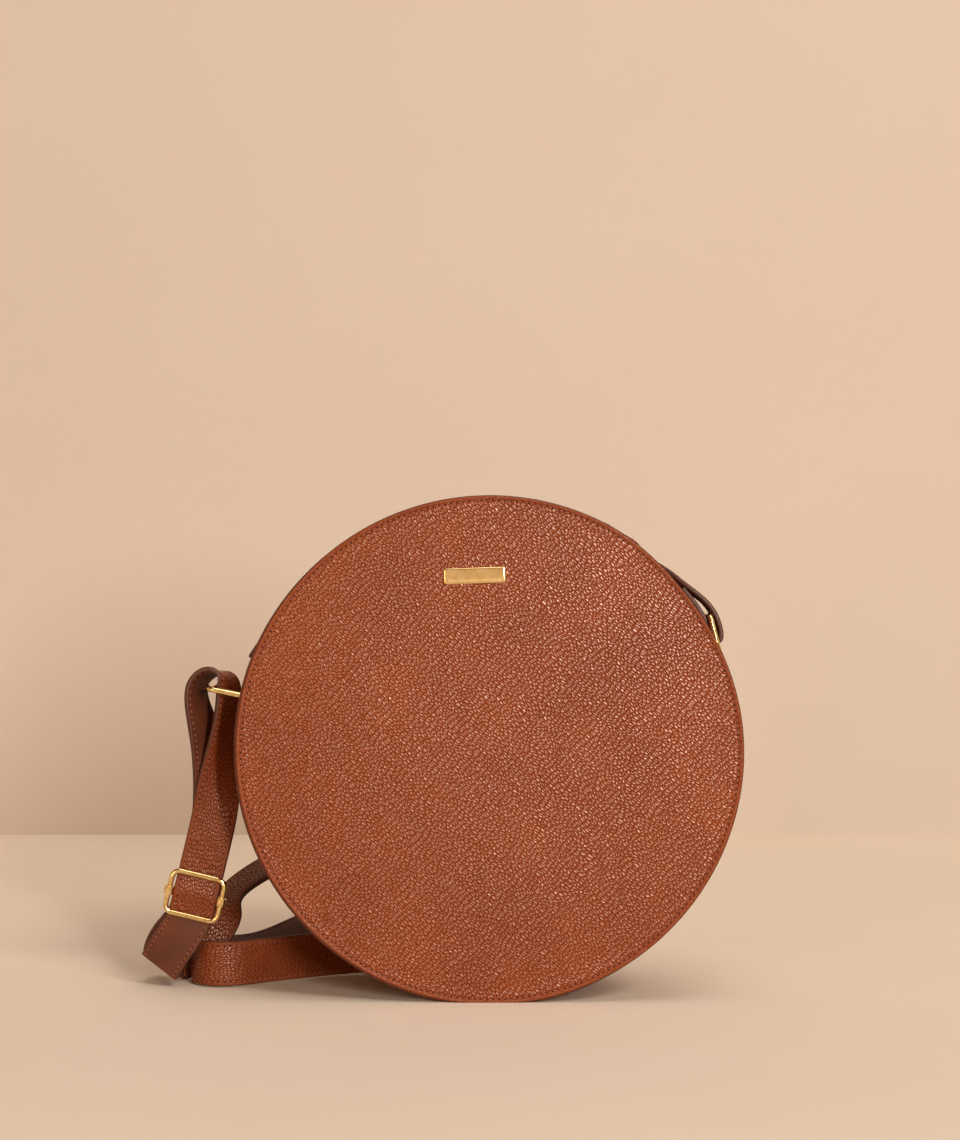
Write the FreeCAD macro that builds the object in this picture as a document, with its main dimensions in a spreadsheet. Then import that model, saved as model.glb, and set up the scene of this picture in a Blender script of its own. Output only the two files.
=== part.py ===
import FreeCAD, Part
import math
import os
import Sketcher

# A round leather cross-body bag that stands on its two rims, with its shoulder strap laid down beside it.
# The origin is on the floor under the bag's centre: +X to the right seen from the front, +Y to the back, +Z up.

doc = FreeCAD.newDocument("circle_bag")
sheet = doc.addObject("Spreadsheet::Sheet", "Sizes")

SIZES = [
    ("rim_radius", 110.0, "radius of the two rounds"),
    ("rim_flat", 1.0, "how far the rims are pressed flat where they stand"),
    ("body_depth", 70.0, "front rim face to rear rim face"),
    ("panel_skin", 1.5, "leather of the rounds"),
    ("panel_crown", 2.5, "how far the padded middle stands proud of the rim"),
    ("gusset_inset", 3.5, "rim radius to the gusset's outside"),
    ("gusset_skin", 1.6, "leather of the gusset and the zip strips"),
    ("board_skin", 1.5, "stiffener board behind each round"),
    ("lining_skin", 0.5, "lining fabric"),
    ("stiffener_skin", 0.8, "stiffener inside the gusset"),
    ("layer_gap", 0.1, "air between curved layers"),
    ("seat_gap", 1.4, "gusset's inside to the edge of the boards"),
    ("roll_angle", 5.0, "how far the bag is rolled to the left as it stands"),
    ("seam_angle", 19.0, "gusset to zip strip seam above the level"),
    ("ring_angle", 16.5, "ring bar above the level, in the bag's own frame"),
    ("tab_skin", 1.3, "leather of the ring tabs"),
    ("tab_width", 17.0, "ring tab along the bag's axis"),
    ("tab_sweep", 5.0, "ring tab beyond its bar, degrees of the gusset"),
    ("ring_wire", 2.5, "wire of the strap rings"),
    ("ring_length", 18.0, "bar to bar of a strap ring"),
    ("ring_width", 23.5, "arm to arm of a strap ring"),
    ("ring_corner", 3.0, "bend of a strap ring"),
    ("ring_lean", 82.56, "right ring turned up from the radial"),
    ("pin_gap", 0.1, "running gap round a ring bar"),
    ("strap_width", 20.0, "shoulder strap"),
    ("strap_skin", 2.2, "two leathers of the strap glued and sewn"),
    ("strap_gap", 0.3, "air between the strap and the metal"),
    ("ply_gap", 0.4, "air between the two strands in the adjuster"),
    ("adjuster_wire", 2.4, "wire of the strap adjuster"),
    ("adjuster_length", 18.8, "adjuster bar to bar"),
    ("adjuster_width", 23.8, "adjuster side to side"),
    ("adjuster_corner", 3.5, "bend of the adjuster"),
    ("adjuster_tilt", 13.5, "adjuster turned in the front view"),
    ("sleeve_wall", 0.9, "eyes of the centre bar round the side wires"),
    ("sleeve_length", 3.6, "length of those eyes"),
    ("zip_gap", 14.0, "opening between the two zip strips"),
    ("tape_skin", 0.6, "zip tape"),
    ("tape_width", 14.0, "one zip tape"),
    ("chain_gap", 2.4, "opening between the two tapes under the teeth"),
    ("chain_start", 35.0, "end of the teeth above the level"),
    ("tooth_pitch", 2.8, "teeth along one side"),
    ("tooth_width", 1.15, "one tooth along the chain"),
    ("tooth_rise", 3.0, "one tooth outwards"),
    ("tooth_half", 2.9, "chain centre to a tooth's outer end"),
    ("tooth_lap", 0.6, "how far a tooth passes the chain centre"),
    ("tooth_under", 0.7, "one tooth below the tape"),
    ("stop_length", 2.2, "end stop along the chain"),
    ("stop_rise", 1.4, "end stop outwards from the strips' underside"),
    ("slider_angle", 39.0, "closed slider above the level"),
    ("slider_length", 12.0, "zip slider along the chain"),
    ("slider_width", 9.0, "zip slider across"),
    ("slider_plate", 1.2, "slider plates"),
    ("slider_gap", 0.5, "slider plates clear of the teeth"),
    ("slider_wall", 0.9, "side walls of the slider"),
    ("post_gap", 0.4, "slider post clear of the tapes"),
    ("lug_length", 6.0, "bridge on the slider"),
    ("lug_width", 1.8, "bridge on the slider"),
    ("lug_rise", 3.0, "bridge on the slider"),
    ("pull_pin", 1.6, "pin of the zip pull"),
    ("cheek_width", 1.4, "cheeks of the pull link"),
    ("cheek_gap", 0.3, "cheeks clear of the bridge"),
    ("cheek_tail", 1.1, "cheeks behind the pin"),
    ("link_skin", 1.6, "thickness of the pull link"),
    ("link_web", 3.0, "web that joins the cheeks"),
    ("link_length", 10.0, "pivot to the tongue's root"),
    ("tongue_length", 6.0, "tongue of the link in the leather"),
    ("tongue_width", 6.0, "tongue of the link in the leather"),
    ("tongue_skin", 1.0, "tongue of the link in the leather"),
    ("pull_length", 17.5, "leather pull"),
    ("pull_width", 10.0, "leather pull"),
    ("pull_skin", 2.6, "leather pull, two plies"),
    ("pull_corner", 2.5, "corners at the pull's end"),
    ("plate_width", 27.0, "blank plate on the front"),
    ("plate_height", 7.0, "blank plate on the front"),
    ("plate_skin", 1.2, "blank plate on the front"),
    ("plate_corner", 1.2, "corners of the plate"),
    ("plate_radius", 75.5, "plate centre above the bag's centre"),
    ("plate_turn", 2.0, "tilt of the plate, set by hand"),
    ("prong_spacing", 18.0, "plate prongs"),
    ("prong_size", 1.5, "plate prongs, diameter"),
    ("washer_size", 6.5, "clinch washers"),
    ("washer_skin", 0.6, "clinch washers"),
    ("washer_gap", 0.5, "room round a washer in the padding and the board"),
    ("clinch_gap", 0.25, "washer clear of the leather's back"),
    ("pocket_width", 120.0, "slip pocket"),
    ("pocket_height", 78.0, "slip pocket"),
]
for row, (alias, number, note) in enumerate(SIZES, start=1):
    sheet.set("A%d" % row, note)
    sheet.set("B%d" % row, str(number))
    sheet.setAlias("B%d" % row, alias)
doc.recompute()


def val(name):
    return float(sheet.get(name))


# heights, depths and radii that several pieces share
centre_z = val("rim_radius") - val("rim_flat")
half_depth = val("body_depth") / 2
gusset_r = val("rim_radius") - val("gusset_inset")
gusset_in = gusset_r - val("gusset_skin")
pin_hole = val("ring_wire") / 2 + val("pin_gap")
bar_r = gusset_r + val("tab_skin") + pin_hole
right_bar = val("ring_angle") + val("roll_angle")
left_bar = 180.0 - val("ring_angle") + val("roll_angle")
tape_out = gusset_in - val("layer_gap")
teeth_low = tape_out - val("tape_skin") - val("tooth_under")
NODES = []
Sketch = Sketcher.Constraint


def keep(obj, label):
    obj.Label = label
    NODES.append(obj)
    return obj


def S(formula):
    """Puts the sheet's name before every size in a formula."""
    out = formula
    for alias in sorted((row[0] for row in SIZES), key=len, reverse=True):
        out = out.replace("[" + alias + "]", "Sizes." + alias)
    return out


def num(formula):
    return float(sheet.evalExpression(S(formula)))


def bind(obj, **formulas):
    for prop, formula in formulas.items():
        obj.setExpression(prop, S(formula))
    return obj


def polar(radius, degrees, y=0.0):
    """A point at this angle round the bag's axis, from +X over the top."""
    a = math.radians(degrees)
    return FreeCAD.Vector(radius * math.cos(a), y, centre_z + radius * math.sin(a))


def around_axis(y_far, start):
    """Places an upright solid round the bag's axis, its foot at y_far and its start at this angle."""
    turn = FreeCAD.Rotation(FreeCAD.Vector(1, 0, 0), 90)
    turn = turn * FreeCAD.Rotation(FreeCAD.Vector(0, 0, 1), start)
    return FreeCAD.Placement(FreeCAD.Vector(0, y_far, centre_z), turn)


def frame_of(origin, along, up):
    """Places a solid with its X along one direction and its Z along another."""
    across = up.cross(along)
    turn = FreeCAD.Rotation(along, across, up, "ZXY")
    return FreeCAD.Placement(origin, turn)


def station(radius, degrees):
    """On the gusset: X along the gusset, Z outwards."""
    a = math.radians(degrees)
    along = FreeCAD.Vector(-math.sin(a), 0, math.cos(a))
    out = FreeCAD.Vector(math.cos(a), 0, math.sin(a))
    return frame_of(polar(radius, degrees), along, out)


def cut(name, base, tool):
    obj = doc.addObject("Part::Cut", name)
    obj.Base = base
    obj.Tool = tool
    return obj


def fuse(name, shapes):
    obj = doc.addObject("Part::MultiFuse", name)
    obj.Shapes = shapes
    return obj


def tube(name, inner, outer, height, y_far, start, sweep):
    """A sector of a tube round the bag's axis, running to the front from y_far."""
    body = doc.addObject("Part::Cylinder", name + "_outer")
    bind(body, Radius=outer, Height=height, Angle=sweep)
    body.Placement = around_axis(y_far, start)
    core = doc.addObject("Part::Cylinder", name + "_inner")
    bind(core, Radius=inner, Height=height + " + 2")
    core.Placement = around_axis(y_far + 1, 0)
    return cut(name, body, core)


def rod(name, radius, height, place):
    obj = doc.addObject("Part::Cylinder", name)
    bind(obj, Radius=radius, Height=height)
    obj.Placement = place
    return obj


def block(name, length, width, height, place):
    """A box centred across its width, from x 0 and z 0 of its place."""
    obj = doc.addObject("Part::Box", name)
    bind(obj, Length=length, Width=width, Height=height)
    doc.recompute()
    shift = FreeCAD.Placement(FreeCAD.Vector(0, -obj.Width.Value / 2, 0), FreeCAD.Rotation())
    obj.Placement = place * shift
    return obj


def wire_loop(name, length, width, corner, wire, place):
    """A rounded rectangle of round wire, its near bar along Y through the place."""
    parts = []
    half = val(width) / 2
    far = val(length)
    bend = val(corner)
    straight_x = "[%s] - 2 * [%s]" % (length, corner)
    straight_y = "[%s] - 2 * [%s]" % (width, corner)
    thick = "[%s] / 2" % wire
    lie_x = FreeCAD.Rotation(FreeCAD.Vector(0, 1, 0), 90)
    lie_y = FreeCAD.Rotation(FreeCAD.Vector(1, 0, 0), -90)
    runs = [
        (straight_x, FreeCAD.Vector(bend, -half, 0), lie_x),
        (straight_x, FreeCAD.Vector(bend, half, 0), lie_x),
        (straight_y, FreeCAD.Vector(0, bend - half, 0), lie_y),
        (straight_y, FreeCAD.Vector(far, bend - half, 0), lie_y),
    ]
    for index, (run, start, turn) in enumerate(runs):
        parts.append(rod("%s_run%d" % (name, index), thick, run, place * FreeCAD.Placement(start, turn)))
    bends = [
        (far - bend, half - bend, 0),
        (bend, half - bend, 90),
        (bend, bend - half, 180),
        (far - bend, bend - half, 270),
    ]
    for index, (x, y, degrees) in enumerate(bends):
        ring = doc.addObject("Part::Torus", "%s_bend%d" % (name, index))
        bind(ring, Radius1="[%s]" % corner, Radius2=thick)
        ring.Angle3 = 90
        turn = FreeCAD.Rotation(FreeCAD.Vector(0, 0, 1), degrees)
        ring.Placement = place * FreeCAD.Placement(FreeCAD.Vector(x, y, 0), turn)
        parts.append(ring)
    return fuse(name, parts)


def plane_of(body, role):
    return [item for item in body.Origin.OriginFeatures if item.Role == role][0]


def outline(body, role, corners, bulges=()):
    """A closed sketch through corners given as formulas; bulges are (edge, radius formula, side)."""
    sk = body.newObject("Sketcher::SketchObject", body.Name + "_sketch")
    sk.AttachmentSupport = [(plane_of(body, role), "")]
    sk.MapMode = "FlatFace"
    points = []
    for fx, fy in corners:
        points.append(FreeCAD.Vector(num(fx), num(fy), 0))
    arcs = dict((edge, (radius, side)) for edge, radius, side in bulges)
    count = len(points)
    for i in range(count):
        a = points[i]
        b = points[(i + 1) % count]
        if i in arcs:
            rise = arcs[i][1]
            radius = num(arcs[i][0])
            half = (b - a).Length / 2
            sag = radius - math.sqrt(radius * radius - half * half)
            normal = FreeCAD.Vector(a.y - b.y, b.x - a.x, 0).normalize()
            sk.addGeometry(Part.Arc(a, (a + b) * 0.5 + normal * sag * rise, b), False)
        else:
            sk.addGeometry(Part.LineSegment(a, b), False)
    first = []
    for i in range(count):
        near = sk.getPoint(i, 1).distanceToPoint(points[i]) < 1e-6
        first.append((1, 2) if near else (2, 1))
    for i in range(count):
        j = (i + 1) % count
        sk.addConstraint(Sketch("Coincident", i, first[i][1], j, first[j][0]))
    for i, (fx, fy) in enumerate(corners):
        for kind, number, formula in (("DistanceX", points[i].x, fx), ("DistanceY", points[i].y, fy)):
            index = sk.addConstraint(Sketch(kind, -1, 1, i, first[i][0], number))
            sk.setExpression("Constraints[%d]" % index, S(formula))
    for edge, (radius, side) in arcs.items():
        index = sk.addConstraint(Sketch("Radius", edge, num(radius)))
        sk.setExpression("Constraints[%d]" % index, S(radius))
    return sk


def turned(name, corners, bulges=()):
    """A solid of revolution round the bag's axis; corners are (y, radius)."""
    body = doc.addObject("PartDesign::Body", name)
    sk = outline(body, "YZ_Plane", corners, bulges)
    rev = body.newObject("PartDesign::Revolution", name + "_turn")
    rev.Profile = sk
    rev.ReferenceAxis = (sk, ["H_Axis"])
    rev.Angle = 360
    body.Placement.Base = FreeCAD.Vector(0, 0, centre_z)
    return body


# what the floor has pressed flat on the rims
floor_block = doc.addObject("Part::Box", "floor_block")
bind(floor_block, Length="2 * [rim_radius]", Width="2 * [body_depth]", Height="[rim_radius]")
floor_block.Placement.Base = FreeCAD.Vector(-val("rim_radius"), -val("body_depth"), -val("rim_radius"))

# The two rounds: leather, padding, board and lining, each a disc on the bag's axis.
seat = "[rim_radius] - [gusset_inset] - [gusset_skin] - [seat_gap]"
seat_r = gusset_in - val("seat_gap")
dome = "((%s) ^ 2 + [panel_crown] ^ 2) / (2 * [panel_crown])" % seat
prong_at = []
plate_angle = math.radians(90.0 + val("roll_angle"))
plate_x = val("plate_radius") * math.cos(plate_angle)
plate_z = centre_z + val("plate_radius") * math.sin(plate_angle)
plate_tilt = FreeCAD.Rotation(FreeCAD.Vector(0, -1, 0), val("plate_turn"))
for side in (-1, 1):
    offset = plate_tilt.multVec(FreeCAD.Vector(side * val("prong_spacing") / 2, 0, 0))
    prong_at.append(FreeCAD.Vector(plate_x, 0, plate_z) + offset)
face_front = FreeCAD.Rotation(FreeCAD.Vector(1, 0, 0), 90)


def prong_holes(name, radius):
    """Holes for the plate's prongs, from the middle of the bag to the front."""
    holes = []
    for index, point in enumerate(prong_at):
        holes.append(rod("%s_%d" % (name, index), radius, "[body_depth]", FreeCAD.Placement(point, face_front)))
    return fuse(name, holes)


for word, sign in (("front", "-1"), ("rear", "1")):
    way = float(sign)
    rim_face = sign + " * ([body_depth] / 2)"
    skin_in = sign + " * ([body_depth] / 2 - [panel_skin])"
    skin = turned(word + "_skin", [
        (sign + " * ([body_depth] / 2 + [panel_crown])", "0"),
        (rim_face, seat),
        (rim_face, "[rim_radius]"),
        (skin_in, "[rim_radius]"),
        (skin_in, seat),
        (sign + " * ([body_depth] / 2 - [panel_skin] + [panel_crown])", "0"),
    ], [(0, dome, -way), (4, dome, way)])
    panel = cut(word + "_panel_solid", skin, floor_block)
    pad = turned(word + "_pad", [
        (sign + " * ([body_depth] / 2 - [panel_skin] + [panel_crown] - [layer_gap])", "0"),
        (sign + " * ([body_depth] / 2 - [panel_skin] - [layer_gap])", seat),
        (sign + " * ([body_depth] / 2 - [panel_skin] - 2 * [layer_gap])", seat),
        (sign + " * ([body_depth] / 2 - [panel_skin] - 2 * [layer_gap])", "0"),
    ], [(0, dome, -way)])
    if word == "front":
        panel = cut("front_panel_pierced", panel, prong_holes("panel_holes", "[prong_size] / 2 + [layer_gap]"))
        pad = cut("front_pad_pierced", pad, prong_holes("pad_holes", "[washer_size] / 2 + [washer_gap]"))
    keep(panel, word + "_panel")
    keep(pad, word + "_padding")
    board_y = half_depth - val("panel_skin") - 3 * val("layer_gap")
    board_far = -(board_y - val("board_skin")) if way < 0 else board_y
    board = rod(word + "_board_disc", seat, "[board_skin]", around_axis(board_far, 0))
    if word == "front":
        board_holes = prong_holes("board_holes", "[washer_size] / 2 + [washer_gap]")
        board = cut("front_board_pierced", board, board_holes)
    keep(board, word + "_board")
    lining_y = board_y - val("board_skin") - val("layer_gap")
    lining_far = -(lining_y - val("lining_skin")) if way < 0 else lining_y
    lining = rod(word + "_lining_disc", seat, "[lining_skin]", around_axis(lining_far, 0))
    keep(lining, word + "_lining")
lining_face = lining_y - val("lining_skin")

# The gusset: a leather band with both edges turned out under the rounds, stiffened and lined.
band_start = 180.0 - val("seam_angle") + val("roll_angle")
band_sweep = "180 + 2 * [seam_angle]"
zip_start = val("seam_angle") + val("roll_angle")
zip_sweep = "180 - 2 * [seam_angle]"
web_in = "[rim_radius] - [gusset_inset] - [gusset_skin]"
web_out = "[rim_radius] - [gusset_inset]"
flange_y = half_depth - val("panel_skin")
web_depth = "[body_depth] - 2 * [panel_skin]"
band_web = tube("band_web", web_in, web_out, web_depth, flange_y, band_start, band_sweep)
band_front = tube("band_front", web_in, "[rim_radius]", "[gusset_skin]", val("gusset_skin") - flange_y,
                  band_start, band_sweep)
band_rear = tube("band_rear", web_in, "[rim_radius]", "[gusset_skin]", flange_y, band_start, band_sweep)
keep(cut("band_cut", fuse("band", [band_web, band_front, band_rear]), floor_block), "gusset_band")
inner_depth = "2 * %f" % (lining_face - val("layer_gap"))
inner_y = lining_face - val("layer_gap")
stiff_out = web_in + " - [layer_gap]"
stiff_in = stiff_out + " - [stiffener_skin]"
stiffener = tube("stiffener", stiff_in, stiff_out, inner_depth, inner_y, band_start, band_sweep)
keep(stiffener, "gusset_stiffener")
lined_out = stiff_in + " - [layer_gap]"
lined = tube("lined", lined_out + " - [lining_skin]", lined_out, inner_depth, inner_y, band_start, band_sweep)
keep(lined, "gusset_lining")

# The zip in the top of the gusset: leather strips, tapes sewn under them, teeth and end stops.
strip_depth = "[body_depth] / 2 - [panel_skin] - [zip_gap] / 2"
for word, far in (("front", -val("zip_gap") / 2), ("rear", flange_y)):
    web = tube("strip_" + word, web_in, web_out, strip_depth, far, zip_start, zip_sweep)
    lip_far = val("gusset_skin") - flange_y if word == "front" else flange_y
    lip = tube("lip_" + word, web_in, "[rim_radius]", "[gusset_skin]", lip_far, zip_start, zip_sweep)
    keep(fuse("zip_strip_fuse_" + word, [web, lip]), "zip_strip_" + word)
    tape_far = -val("chain_gap") / 2 if word == "front" else val("chain_gap") / 2 + val("tape_width")
    tape_top = web_in + " - [layer_gap]"
    tape = tube("tape_" + word, tape_top + " - [tape_skin]", tape_top, "[tape_width]", tape_far,
                zip_start, zip_sweep)
    keep(tape, "zip_tape_" + word)

slider_mid = 180.0 - val("slider_angle") + val("roll_angle")
half_sweep = math.degrees(val("slider_length") / 2 / gusset_r)
chain_from = val("chain_start") + val("roll_angle")
chain_to = slider_mid + half_sweep * 0.5
step = math.degrees(val("tooth_pitch") / gusset_r)
tooth_count = int((chain_to - chain_from) / step)
for word, way in (("front", 1.0), ("rear", -1.0)):
    teeth = []
    for index in range(tooth_count):
        angle = chain_from + step * (index + (0.25 if word == "front" else 0.75))
        reach = val("tooth_half") + val("tooth_lap")
        tooth_y = -val("tooth_lap") if way > 0 else val("tooth_lap") - reach
        corner = FreeCAD.Vector(-val("tooth_width") / 2, tooth_y, 0)
        tooth = Part.makeBox(val("tooth_width"), reach, val("tooth_rise"), corner)
        slot = Part.makeBox(9, reach, val("tape_skin") + 2 * val("layer_gap"), FreeCAD.Vector(-4.5, 0, 0))
        near = val("chain_gap") / 2 - val("layer_gap")
        slot_y = near if way > 0 else -near - reach
        slot.translate(FreeCAD.Vector(0, slot_y, tape_out - val("tape_skin") - val("layer_gap") - teeth_low))
        tooth = tooth.cut(slot)
        tooth.Placement = station(teeth_low, angle)
        teeth.append(tooth)
    row = doc.addObject("Part::Feature", "teeth_" + word)
    row.Shape = Part.makeCompound(teeth)
    keep(row, "zip_teeth_" + word)

stop_sweep = math.degrees(val("stop_length") / gusset_r)
stops = []
for index, angle in enumerate((chain_from - 1.5 * step, slider_mid + half_sweep + stop_sweep)):
    stop = tube("stop_%d" % index, web_in + " - [layer_gap] / 2", web_in + " + [stop_rise]", "2 * [tooth_half]",
                val("tooth_half"), angle - stop_sweep / 2, "%f" % stop_sweep)
    stops.append(stop)
keep(fuse("zip_stop_fuse", stops), "zip_stops")

# The zip slider: two plates joined by a post at its leading end, side walls and a bridge for the pull.
plate_low = teeth_low + val("tooth_rise") + val("slider_gap")
plate_top = plate_low + val("slider_plate")
under_top = teeth_low - val("slider_gap")
slider_sweep = "[slider_length] / (2 * pi * ([rim_radius] - [gusset_inset])) * 360"
upper = tube("slider_upper", "%f" % plate_low, "%f" % plate_top, "[slider_width]", val("slider_width") / 2,
             slider_mid - half_sweep, slider_sweep)
lower = tube("slider_lower", "%f" % (under_top - val("slider_plate")), "%f" % under_top, "[slider_width]",
             val("slider_width") / 2, slider_mid - half_sweep, slider_sweep)
post = tube("slider_post", "%f" % (under_top - 0.2), "%f" % (plate_low + 0.2), "[chain_gap] - 2 * [post_gap]",
            val("chain_gap") / 2 - val("post_gap"), slider_mid + half_sweep * 0.55, slider_sweep + " * 0.2")
walls = []
for index, far in enumerate((val("slider_width") / 2, val("slider_wall") - val("slider_width") / 2)):
    walls.append(tube("slider_wall_%d" % index, "%f" % (tape_out + 0.5), "%f" % (plate_low + 0.2),
                      "[slider_wall]", far, slider_mid - half_sweep, slider_sweep))
on_slider = station(plate_top - 0.3, slider_mid)
lug = block("slider_lug", "[lug_length]", "[lug_width]", "[lug_rise] + 0.3",
            on_slider * FreeCAD.Placement(FreeCAD.Vector(-val("lug_length") / 2, 0, 0), FreeCAD.Rotation()))
pivot_r = plate_top + val("lug_rise") / 2
pivot = station(pivot_r, slider_mid)
lie_y = FreeCAD.Rotation(FreeCAD.Vector(1, 0, 0), -90)
across = FreeCAD.Placement(FreeCAD.Vector(0, -10, 0), lie_y)
bridge_hole = rod("bridge_hole", "[pull_pin] / 2 + [pin_gap]", "20", pivot * across)
slider_solid = fuse("slider_solid", [upper, lower, post, lug] + walls)
keep(cut("slider_body", slider_solid, bridge_hole), "zip_slider_body")

# The zip pull: a metal link on a pin through the bridge, its tongue held in a folded leather tab.
cheek_in = val("lug_width") / 2 + val("cheek_gap")
link_low = -val("link_skin") / 2
pull_parts = []
pin_half = cheek_in + val("cheek_width")
pull_parts.append(rod("pull_pin_rod", "[pull_pin] / 2", "2 * %f" % pin_half,
                      pivot * FreeCAD.Placement(FreeCAD.Vector(0, -pin_half, 0), lie_y)))
for index, way in enumerate((-1, 1)):
    middle = way * (cheek_in + val("cheek_width") / 2)
    shift = FreeCAD.Vector(-val("cheek_tail"), middle, link_low)
    cheek_at = pivot * FreeCAD.Placement(shift, FreeCAD.Rotation())
    pull_parts.append(block("pull_cheek_%d" % index, "[link_length] + [cheek_tail]", "[cheek_width]",
                            "[link_skin]", cheek_at))
web_start = val("link_length") - val("link_web")
pull_parts.append(block("pull_web", "[link_web]", "2 * %f" % pin_half, "[link_skin]",
                        pivot * FreeCAD.Placement(FreeCAD.Vector(web_start, 0, link_low), FreeCAD.Rotation())))
tongue_low = -val("tongue_skin") / 2
tongue_from = FreeCAD.Vector(val("link_length") - 0.5, 0, tongue_low)
tongue_at = pivot * FreeCAD.Placement(tongue_from, FreeCAD.Rotation())
pull_parts.append(block("pull_tongue", "[tongue_length] + 0.5", "[tongue_width]", "[tongue_skin]", tongue_at))
keep(fuse("pull_link", pull_parts), "zip_pull_link")
leather = doc.addObject("PartDesign::Body", "pull_leather")
ends = [
    ("0", "[pull_width] / 2 - 1"),
    ("0", "1 - [pull_width] / 2"),
    ("1", "-[pull_width] / 2"),
    ("[pull_length] - [pull_corner]", "-[pull_width] / 2"),
    ("[pull_length]", "[pull_corner] - [pull_width] / 2"),
    ("[pull_length]", "[pull_width] / 2 - [pull_corner]"),
    ("[pull_length] - [pull_corner]", "[pull_width] / 2"),
    ("1", "[pull_width] / 2"),
]
leather_sketch = outline(leather, "XY_Plane", ends)
leather_pad = leather.newObject("PartDesign::Pad", "pull_leather_pad")
leather_pad.Profile = leather_sketch
bind(leather_pad, Length="[pull_skin]")
leather_pad.Midplane = True
leather_at = FreeCAD.Vector(val("link_length") + 0.1, 0, 0)
leather.Placement = pivot * FreeCAD.Placement(leather_at, FreeCAD.Rotation())
slot_from = FreeCAD.Vector(val("link_length") - 0.1, 0, tongue_low - val("layer_gap") / 2)
slot = block("pull_slot", "[tongue_length] + 3 * [layer_gap]", "[tongue_width] + [layer_gap]",
             "[tongue_skin] + [layer_gap]", pivot * FreeCAD.Placement(slot_from, FreeCAD.Rotation()))
keep(cut("pull_leather_cut", leather, slot), "zip_pull_tab")

# The ring tabs: folded leather sewn to the gusset, with the ring's bar in the fold, and the rings themselves.
ring_places = []
for word, angle, way in (("left", left_bar, -1.0), ("right", right_bar, 1.0)):
    start = angle if way > 0 else angle - val("tab_sweep")
    flat = tube(word + "_tab_flat", web_out + " + 0.05", web_out + " + 2 * [tab_skin]", "[tab_width]",
                val("tab_width") / 2, start, "[tab_sweep]")
    sideways = FreeCAD.Placement(polar(bar_r, angle, val("tab_width") / 2), face_front)
    fold = rod(word + "_tab_fold", "[ring_wire] / 2 + [pin_gap] + [tab_skin] - 0.05", "[tab_width]", sideways)
    far_side = FreeCAD.Placement(polar(bar_r, angle, val("tab_width")), face_front)
    hole = rod(word + "_tab_hole", "[ring_wire] / 2 + [pin_gap]", "2 * [tab_width]", far_side)
    keep(cut(word + "_tab_cut", fuse(word + "_tab_solid", [flat, fold]), hole), word + "_tab")
    lean = val("ring_lean") if word == "right" else 0.0
    direction = math.radians(angle + lean)
    out = FreeCAD.Vector(math.cos(direction), 0, math.sin(direction))
    side_way = FreeCAD.Vector(-math.sin(direction), 0, math.cos(direction))
    ring_at = frame_of(polar(bar_r, angle), out, side_way)
    ring_places.append(ring_at)
    ring = wire_loop(word + "_loop", "ring_length", "ring_width", "ring_corner", "ring_wire", ring_at)
    keep(ring, word + "_ring")

# The adjuster: a wire frame in front of the two strands and a centre bar behind them, whose eyes close round
# the side wires.
left_outer = ring_places[0].multVec(FreeCAD.Vector(val("ring_length"), 0, 0))
right_outer = ring_places[1].multVec(FreeCAD.Vector(val("ring_length"), 0, 0))
adjuster = left_outer + FreeCAD.Vector(-6.4, -1.0, -92.55)
tilt = math.radians(val("adjuster_tilt"))
strap_across = FreeCAD.Vector(math.cos(tilt), 0, -math.sin(tilt))
strap_up = FreeCAD.Vector(math.sin(tilt), 0, math.cos(tilt))
to_front = FreeCAD.Vector(0, -1, 0)
frame_out = val("strap_skin") / 2 + val("strap_gap") + val("adjuster_wire") / 2
rear_ply = -(val("strap_skin") + val("ply_gap"))
bar_out = rear_ply - val("strap_skin") / 2 - val("strap_gap") - val("adjuster_wire") / 2
low_bar = adjuster - strap_up * (val("adjuster_length") / 2) + to_front * frame_out
frame_at = frame_of(low_bar, strap_up, to_front)
loop = wire_loop("adjuster_loop", "adjuster_length", "adjuster_width", "adjuster_corner", "adjuster_wire", frame_at)
keep(loop, "adjuster_frame")
bar_parts = []
side = val("adjuster_width") / 2
half_wire = "[adjuster_wire] / 2"
bar_frame = frame_of(adjuster, strap_up, to_front)
rod_at = FreeCAD.Placement(FreeCAD.Vector(0, -side, bar_out), lie_y)
bar_parts.append(rod("adjuster_rod", half_wire, "[adjuster_width]", bar_frame * rod_at))
holes = []
lie_x = FreeCAD.Rotation(FreeCAD.Vector(0, 1, 0), 90)
for index, way in enumerate((-1, 1)):
    foot = FreeCAD.Placement(FreeCAD.Vector(0, way * side, bar_out), FreeCAD.Rotation())
    leg_length = "%f" % (frame_out - bar_out)
    bar_parts.append(rod("adjuster_leg_%d" % index, half_wire, leg_length, bar_frame * foot))
    corner = doc.addObject("Part::Sphere", "adjuster_elbow_%d" % index)
    bind(corner, Radius=half_wire)
    corner.Placement = bar_frame * foot
    bar_parts.append(corner)
    eye = FreeCAD.Placement(FreeCAD.Vector(-val("sleeve_length") / 2, way * side, frame_out), lie_x)
    eye_radius = half_wire + " + [sleeve_wall]"
    bar_parts.append(rod("adjuster_eye_%d" % index, eye_radius, "[sleeve_length]", bar_frame * eye))
    bore = FreeCAD.Placement(FreeCAD.Vector(-val("sleeve_length"), way * side, frame_out), lie_x)
    bore_radius = half_wire + " + 0.02"
    holes.append(rod("adjuster_bore_%d" % index, bore_radius, "2 * [sleeve_length]", bar_frame * bore))
bar_solid = fuse("adjuster_bar_solid", bar_parts)
bores = fuse("adjuster_bores", holes)
keep(cut("adjuster_bar_cut", bar_solid, bores), "adjuster_bar")

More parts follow.
